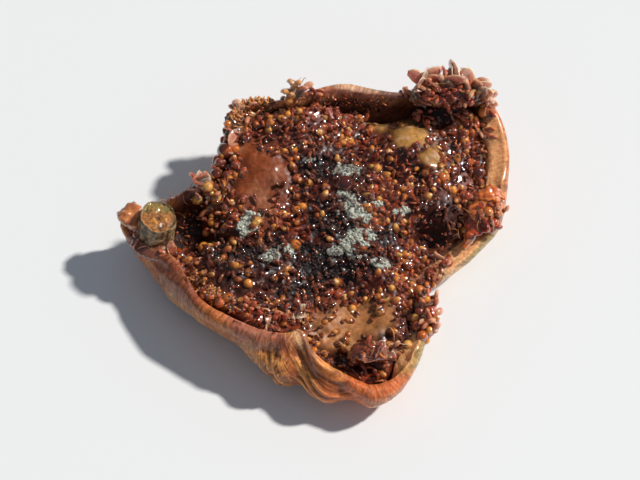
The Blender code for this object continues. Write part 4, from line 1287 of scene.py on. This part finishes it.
def lying_seeds():
    """Seeds at their places, each lying on its side."""
    draw = random.Random(11)
    rows = []
    for across, down in SEED_SPOTS:
        spot, normal = root_seen(across, down)
        aim = (normal * 0.5 + Vector((draw.uniform(-1, 1), draw.uniform(-1, 1), 0.2))).normalized()
        size = SEED_SIZE * draw.uniform(0.85, 1.15)
        sunk = patch(np.array(spot)[None], LOW_JELLY_PLACES, 0, 8)[0]
        spot = spot + normal * size * (0.75 - 0.6 * sunk) - aim * size * 0.4
        rows.append((spot, aim, (size, size, size), draw.random()))
    return rows


BLOB_SPOTS = (
    (226, 150, 1.25, 0.42), (231, 137, 1.0, 0.3), (220, 163, 0.9, 0.2), (216, 174, 0.85, 0.1),
    (228, 124, 0.7, 0.5), (205, 248, 1.05, 0.6), (295, 245, 0.95, 0.5), (292, 94, 0.9, 0.55),
    (302, 92, 0.8, 0.6), (478, 173, 1.2, 0.05), (246, 136, 0.9, 0.2), (236, 150, 0.8, 0.5),
    (345, 184, 1.45, 0.0), (429, 330, 0.7, 0.6), (430, 320, 0.65, 0.55), (426, 340, 0.65, 0.6),
    (207, 232, 0.8, 0.5), (212, 222, 0.7, 0.6), (248, 284, 0.8, 0.6), (303, 207, 0.7, 0.6),
    (430, 310, 0.65, 0.35), (427, 300, 0.6, 0.6), (428, 290, 0.6, 0.4), (420, 312, 0.8, 0.2),
    (418, 326, 0.9, 0.3), (414, 300, 0.85, 0.45), (410, 318, 0.8, 0.25), (424, 322, 0.7, 0.7),
    (436, 88, 0.9, 0.3), (470, 94, 1.0, 0.2), (484, 112, 1.0, 0.5), (480, 122, 0.9, 0.6),
    (436, 318, 0.6, 0.5), (433, 302, 0.6, 0.55), (434, 328, 0.6, 0.4), (420, 290, 0.8, 0.5),
    (422, 336, 0.9, 0.45), (416, 308, 0.7, 0.6),
    (442, 178, 0.9, 0.45), (452, 190, 0.85, 0.6), (466, 196, 0.9, 0.3), (488, 212, 0.9, 0.5),
    (498, 214, 0.8, 0.6), (494, 222, 0.8, 0.4), (470, 236, 0.8, 0.4), (352, 364, 0.8, 0.2),
)


DROP_SPOTS = ((197, 198, 1.05, 0.62), (217, 199, 0.95, 0.55), (207, 187, 0.9, 0.7), (478, 86, 1.35, 0.35),
              (377, 168, 0.8, 0.45), (352, 309, 0.7, 0.45),
              (258, 222, 0.95, 0.6), (416, 318, 0.8, 0.5), (408, 345, 0.8, 0.6), (289, 100, 0.8, 0.4))


def large_blobs(spots):
    """Swollen fruitlets at their places."""
    rows = []
    for across, down, radius, tone in spots:
        spot, normal = root_seen(across, down)
        if spot is None:
            print("no root at", across, down)
            continue
        raised = spot + normal * radius * 0.3 * MM
        rows.append((raised, normal + Vector((0, 0, 0.4)), (radius * MM,) * 3, tone))
    return rows


large_bead = bead_shape("large_bead", 16, 10, 1.1, 0.1)
swollen_fruitlets = grown("swollen_fruitlets", point_mesh("blob_points", large_blobs(BLOB_SPOTS)),
                          [(SEAT, {"Shape": large_bead, "Material": bead_skin, "Seed": 11})])
pale_drops = grown("pale_drops", point_mesh("drop_points", large_blobs(DROP_SPOTS)),
                   [(SEAT, {"Shape": large_bead, "Material": seed_coat, "Seed": 13})])
golden_seeds = grown("golden_seeds", point_mesh("seed_points", lying_seeds()),
                     [(SEAT, {"Shape": seed_shape, "Material": seed_coat, "Seed": 6})])

# %% [markdown]
# ## Florets, petals and fibres
# Where the wall tore, the florets that lined it stand out as curled, translucent fingers. Flat petals
# and dry fibres show among them. Each kind is one small bent shape, seated in tufts. A tuft's row says
# where it shows in the view, the way it points and how far it leans, how many there are, their length
# and width, how wide the tuft is, and the part of the colour ramp that it takes.

# %% The bent shapes
FLORET_GIRTH, PETAL_GIRTH, FIBRE_GIRTH = 0.17, 0.26, 0.035
floret_shape = bent_finger("floret", 7, FLORET_GIRTH, (0.75, 0.8, 0.75, 0.7, 0.8, 1.0, 0.95, 0.55), 1.0)
hooked_shape = bent_finger("hooked", 7, FLORET_GIRTH, (0.9, 0.95, 0.8, 0.65, 0.55, 0.6, 0.7, 0.6, 0.35), 2.9)
petal_shape = bent_finger("petal", 8, PETAL_GIRTH, (0.35, 0.7, 0.95, 1.1, 1.15, 1.1, 0.9, 0.5), 1.5, 0.13,
                          0.05, 0.75)
fibre_shape = bent_finger("fibre", 4, FIBRE_GIRTH, (1.0, 0.95, 0.85, 0.7, 0.5, 0.2), 1.9, 1.0, 0.06)
FLORET_COLOURS = ((0.24, 0.032, 0.012), (0.44, 0.085, 0.030), (0.60, 0.22, 0.10), (0.70, 0.40, 0.26),
                  (0.62, 0.30, 0.09))
PETAL_COLOURS = ((0.48, 0.08, 0.03), (0.74, 0.28, 0.16), (0.90, 0.52, 0.36), (0.95, 0.72, 0.54))
FIBRE_COLOURS = ((0.20, 0.05, 0.02), (0.62, 0.20, 0.05), (0.68, 0.30, 0.12), (0.74, 0.46, 0.28))
floret_skin = fruit_material("floret_skin", 0.30, 0.8, 0.7, (1500, 0.5), (1800, 4000, 0.5), 0.2,
                             FLORET_COLOURS)
petal_skin = fruit_material("petal_skin", 0.30, 0.8, 0.7, (1500, 0.4), (1800, 4000, 0.5), 0.2, PETAL_COLOURS,
                            root=(0.42, 0.12, 0.07))
fibre_skin = fruit_material("fibre_skin", 0.60, 0.1, 0.2, (2000, 0.4), (2500, 5000, 0.5), 0.2, FIBRE_COLOURS)

FLORET_TUFTS = (
    (412, 94, 130, 44, 3, 1.8, 1.0, 2.0, 0.6), (422, 88, 110, 40, 3, 2.0, 1.1, 2.2, 0.6),
    (434, 90, 100, 40, 4, 1.5, 0.9, 2.2, 0.3), (446, 86, 95, 38, 3, 2.2, 1.1, 2.4, 0.5),
    (458, 84, 85, 38, 3, 2.4, 1.2, 2.4, 0.6), (470, 85, 70, 40, 3, 2.2, 1.1, 2.4, 0.6),
    (480, 94, 40, 44, 4, 2.2, 1.2, 2.2, 0.7), (486, 106, 20, 50, 4, 2.0, 1.1, 2.2, 0.6),
    (452, 96, 270, 60, 12, 1.4, 0.8, 3.6, 0.0), (426, 99, 250, 60, 9, 1.3, 0.8, 2.6, 0.0),
    (470, 98, 290, 60, 9, 1.4, 0.8, 2.6, 0.2), (438, 99, 270, 60, 8, 1.3, 0.7, 2.6, 0.05),
    (246, 112, 120, 36, 6, 2.0, 1.0, 2.6, 0.5), (296, 92, 100, 24, 6, 2.4, 1.0, 1.8, 0.8),
    (312, 96, 90, 40, 6, 1.6, 0.9, 2.8, 0.2), (212, 200, 160, 40, 8, 1.8, 0.9, 2.4, 0.7),
    (426, 300, 10, 60, 9, 1.6, 0.9, 2.6, 0.5), (428, 322, -5, 60, 10, 1.6, 0.9, 3.0, 0.5),
    (496, 206, -10, 76, 4, 1.5, 1.0, 2.2, 0.4), (488, 222, -30, 76, 4, 1.5, 1.0, 2.4, 0.3),
    (280, 312, 250, 40, 7, 1.5, 0.8, 3.0, 0.3), (255, 306, 240, 40, 7, 1.4, 0.8, 2.8, 0.3),
    (444, 262, -60, 56, 4, 1.4, 0.9, 2.4, 0.4), (484, 132, 10, 56, 4, 1.3, 0.8, 2.4, 0.5),
    (372, 356, 90, 60, 8, 1.6, 0.8, 3.0, 0.2), (392, 350, 300, 64, 8, 1.6, 0.8, 2.6, 0.5),
)
PETAL_TUFTS = (
    (144, 240, 280, 66, 8, 1.8, 1.1, 2.4, 0.1), (168, 246, 320, 70, 6, 1.6, 1.0, 2.4, 0.3),
    (202, 196, 150, 50, 8, 2.6, 1.6, 2.2, 0.8), (206, 184, 130, 40, 5, 2.4, 1.5, 1.8, 0.6),
    (236, 142, 170, 50, 4, 2.2, 1.6, 2.0, 0.3), (370, 354, 90, 60, 3, 2.0, 1.1, 2.4, 0.3),
    (384, 352, 60, 64, 3, 2.0, 1.1, 2.2, 0.6), (398, 345, 300, 64, 4, 2.4, 0.8, 1.6, 0.9),
    (413, 88, 115, 26, 4, 2.6, 1.7, 1.6, 0.75), (422, 84, 100, 22, 4, 2.8, 1.9, 1.6, 0.8),
    (444, 84, 100, 22, 3, 3.2, 2.2, 1.2, 0.75), (453, 84, 90, 22, 4, 3.2, 2.4, 1.4, 0.9),
    (465, 84, 80, 22, 4, 3.0, 2.3, 1.4, 0.85), (477, 92, 55, 30, 4, 3.0, 2.2, 1.4, 0.9),
    (486, 104, 30, 46, 3, 2.4, 1.6, 1.6, 0.6), (430, 90, 250, 60, 4, 1.6, 1.4, 2.6, 0.2),
    (494, 214, -20, 70, 3, 2.2, 1.4, 2.6, 0.3), (276, 318, 250, 60, 6, 2.0, 1.1, 2.6, 0.4),
    (300, 312, 250, 60, 6, 2.0, 1.0, 2.0, 0.8), (310, 330, 270, 66, 4, 1.8, 0.9, 2.0, 0.7),
    (478, 206, 0, 66, 3, 1.6, 0.9, 2.4, 0.4), (266, 308, 220, 60, 4, 1.6, 0.9, 2.0, 0.6),
)
FIBRE_TUFTS = (
    (250, 106, 115, 40, 9, 2.4, 0.16, 3.0, 0.5), (297, 86, 100, 40, 5, 3.4, 0.2, 1.0, 0.5),
    (170, 206, 60, 50, 9, 2.4, 0.2, 1.6, 0.2), (184, 194, 130, 60, 12, 1.6, 0.18, 2.6, 0.1),
    (215, 196, 40, 60, 12, 2.0, 0.2, 2.2, 0.5), (160, 246, 330, 76, 9, 1.4, 0.1, 3.4, 0.2),
    (176, 244, 320, 76, 9, 1.6, 0.1, 2.6, 0.3),
    (440, 88, 90, 30, 10, 3.4, 0.18, 5.0, 0.6), (395, 345, 0, 60, 8, 2.4, 0.2, 3.0, 0.8),
    (305, 318, 270, 66, 10, 2.0, 0.2, 2.0, 0.7), (470, 225, 270, 50, 10, 1.8, 0.2, 3.6, 0.4),
)


SPLINTER_TUFTS = (
    (196, 277, 300, 80, 60, 1.1, 0.36, 2.2, 0.45), (203, 285, 320, 80, 80, 1.1, 0.36, 2.6, 0.45),
    (211, 294, 320, 80, 80, 1.1, 0.34, 2.4, 0.4), (250, 108, 115, 52, 90, 1.6, 0.36, 3.4, 0.55),
    (262, 104, 90, 46, 70, 1.7, 0.36, 2.8, 0.65), (242, 120, 160, 56, 60, 1.4, 0.34, 2.8, 0.45),
    (222, 190, 60, 60, 24, 1.2, 0.30, 2.2, 0.45), (302, 316, 260, 66, 26, 1.4, 0.28, 2.4, 0.85),
    (268, 308, 240, 66, 24, 1.2, 0.30, 3.0, 0.35), (236, 304, 230, 70, 22, 1.1, 0.28, 2.6, 0.5),
)


def tuft_rows(tufts, seed, spread_turn, girth, share=1.0):
    """Points of all the tufts: root, aim, size and tone of each shape."""
    draw = random.Random(seed)
    rows = []
    for across, down, heading, lean, count, length, width, spread, tone in tufts:
        middle, _ = root_seen(across, down)
        if middle is None:
            print("no root at", across, down)
            continue
        for _ in range(round(count * share)):
            turn, reach = draw.uniform(0, 2 * math.pi), spread / 2 * MM * math.sqrt(draw.random())
            root, _ = root_below(middle.x + reach * math.cos(turn), middle.y + reach * math.sin(turn))
            if root is None or abs(root.z - middle.z) > 4 * MM:
                root = middle
            way = math.radians(heading + draw.uniform(-spread_turn, spread_turn))
            tilt = math.radians(lean + draw.uniform(-16, 20))
            aim = (math.cos(way) * math.sin(tilt), math.sin(way) * math.sin(tilt), math.cos(tilt))
            long = length * MM * draw.uniform(0.7, 1.2)
            wide = width * MM / 2 / girth * draw.uniform(0.7, 1.2)
            rows.append((root, aim, (wide, wide, long), min(max(tone + draw.uniform(-0.3, 0.3), 0), 1)))
    return rows


torn_florets = grown("torn_florets",
                     point_mesh("floret_points", tuft_rows(FLORET_TUFTS, 12, 50, FLORET_GIRTH)),
                     [(SEAT, {"Shape": floret_shape, "Material": floret_skin, "Seed": 7})])
hooked_florets = grown("hooked_florets",
                       point_mesh("hook_points", tuft_rows(FLORET_TUFTS, 15, 60, FLORET_GIRTH, 0.6)),
                       [(SEAT, {"Shape": hooked_shape, "Material": floret_skin, "Seed": 10})])
torn_splinters = grown("torn_splinters",
                       point_mesh("splinter_points", tuft_rows(SPLINTER_TUFTS, 17, 80, SHRED_GIRTH)),
                       [(SEAT, {"Shape": shred, "Material": fibre_skin, "Seed": 15})])
torn_petals = grown("torn_petals", point_mesh("petal_points", tuft_rows(PETAL_TUFTS, 13, 60, PETAL_GIRTH)),
                    [(SEAT, {"Shape": petal_shape, "Material": petal_skin, "Seed": 8})])
torn_fibres = grown("torn_fibres", point_mesh("fibre_points", tuft_rows(FIBRE_TUFTS, 14, 80, FIBRE_GIRTH)),
                    [(SEAT, {"Shape": fibre_shape, "Material": fibre_skin, "Seed": 9})])

# %% [markdown]
# ## The stalk
# The stub of the stalk was cut straight across. Its face is a rough disc of amber pith in a thin pale
# ring, and dark pitted bark goes down its side. Rings of vertices are laid along the stalk's axis and
# across its face, and clouds roughen each part in its own way.

# %% Shape and colour the stalk
STALK_FOOT = Vector((-23.5, -4.7, 6.2)) * MM + Vector(SHIFT)
STALK_LEAN = Vector((0.17, 0.11, 1.0)).normalized()
STALK_LENGTH, STALK_RADIUS = 6.1 * MM, 2.8 * MM
BARK_RINGS, FACE_RINGS, STALK_SIDES = 46, 26, 120
BARK, BARK_DARK, PALE_RING = (0.34, 0.20, 0.09), (0.09, 0.055, 0.025), (0.30, 0.22, 0.12)
PITH, PITH_GOLD, PITH_OLIVE = (0.34, 0.13, 0.035), (0.66, 0.28, 0.045), (0.26, 0.19, 0.05)


def stalk_mesh():
    """The bark from the foot up, a rounded edge, then the cut face in to its middle."""
    angle = np.linspace(0, 2 * math.pi, STALK_SIDES, endpoint=False)
    uneven = 1 + 0.05 * np.cos(2 * angle + 0.6) + 0.03 * np.cos(5 * angle)
    rings, tints = [], []
    turn = np.array(STALK_LEAN.to_track_quat("Z", "Y").to_matrix())
    for ring in range(BARK_RINGS + FACE_RINGS):
        up = min(ring / (BARK_RINGS - 1), 1)
        share = 1 - max(ring - BARK_RINGS + 1, 0) / (FACE_RINGS + 1)
        r = STALK_RADIUS * uneven * share
        z = np.full(STALK_SIDES, up * STALK_LENGTH)
        local = np.stack([r * np.cos(angle), r * np.sin(angle), z], axis=-1)
        if ring < BARK_RINGS:
            pits = clouds(local * np.array((1, 1, 0.6)), 0.8 * MM, 71)
            out = 0.7 * MM * (pits - 0.6) - 0.12 * MM * smooth(0.92, 1.0, up)
            local[:, :2] *= (1 + out / STALK_RADIUS)[:, None]
            tint = paint(np.tile(np.array(BARK), (STALK_SIDES, 1)), BARK_DARK, smooth(0.55, 0.35, pits))
            tint = paint(tint, PALE_RING, np.full(STALK_SIDES, smooth(0.93, 1.0, up) * 0.7))
        else:
            rough = clouds(local, 0.8 * MM, 72)
            dish = smooth(0.98, 0.86, share)
            local[:, 2] += (rough - 0.5) * 0.8 * MM * dish - 0.25 * MM * dish
            tint = paint(np.tile(np.array(PITH), (STALK_SIDES, 1)), BARK_DARK, smooth(0.42, 0.30, rough))
            tint = paint(tint, PITH_GOLD, smooth(0.58, 0.75, rough))
            far = (local @ turn.T)[:, 1] / STALK_RADIUS
            tint = paint(tint, PITH_OLIVE, smooth(0.3, 0.9, far) * 0.75)
            tint = paint(tint, PALE_RING, np.full(STALK_SIDES, float(smooth(0.86, 0.92, share)) * 0.7))
        rings.append(local @ turn.T + np.array(STALK_FOOT))
        tints.append(tint)
    return rings, tints


stalk_rings, stalk_tints = stalk_mesh()
stalk_stub = new_piece("stalk_stub", shell_of(stalk_rings), closed_rings(stalk_rings))
store(stalk_stub.data, "tint", np.concatenate(stalk_tints + [stalk_tints[0][:1], stalk_tints[-1][:1]]))
stalk_bark = fruit_material("stalk_bark", 0.55, 0.2, 0.0, (2600, 1.0), (2600, 4200, 0.6), 1.0)
stalk_stub.data.materials.append(stalk_bark)
print("stalk:", len(stalk_stub.data.vertices), "vertices")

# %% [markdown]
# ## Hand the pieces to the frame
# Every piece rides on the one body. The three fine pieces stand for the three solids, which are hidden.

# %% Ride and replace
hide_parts("rind")
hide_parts("pulp")
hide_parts("stalk")
for piece in (rind_skin, pulp_bed, stalk_stub, fruitlets, pulp_seeds, pulp_shreds,
              juice_drops, fine_drops, black_grit, mould_grains, rim_beads, wall_shreds,
              golden_seeds, swollen_fruitlets, pale_drops, torn_florets, hooked_florets, torn_petals,
              torn_splinters, torn_fibres, torn_flaps):
    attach(piece, "root")
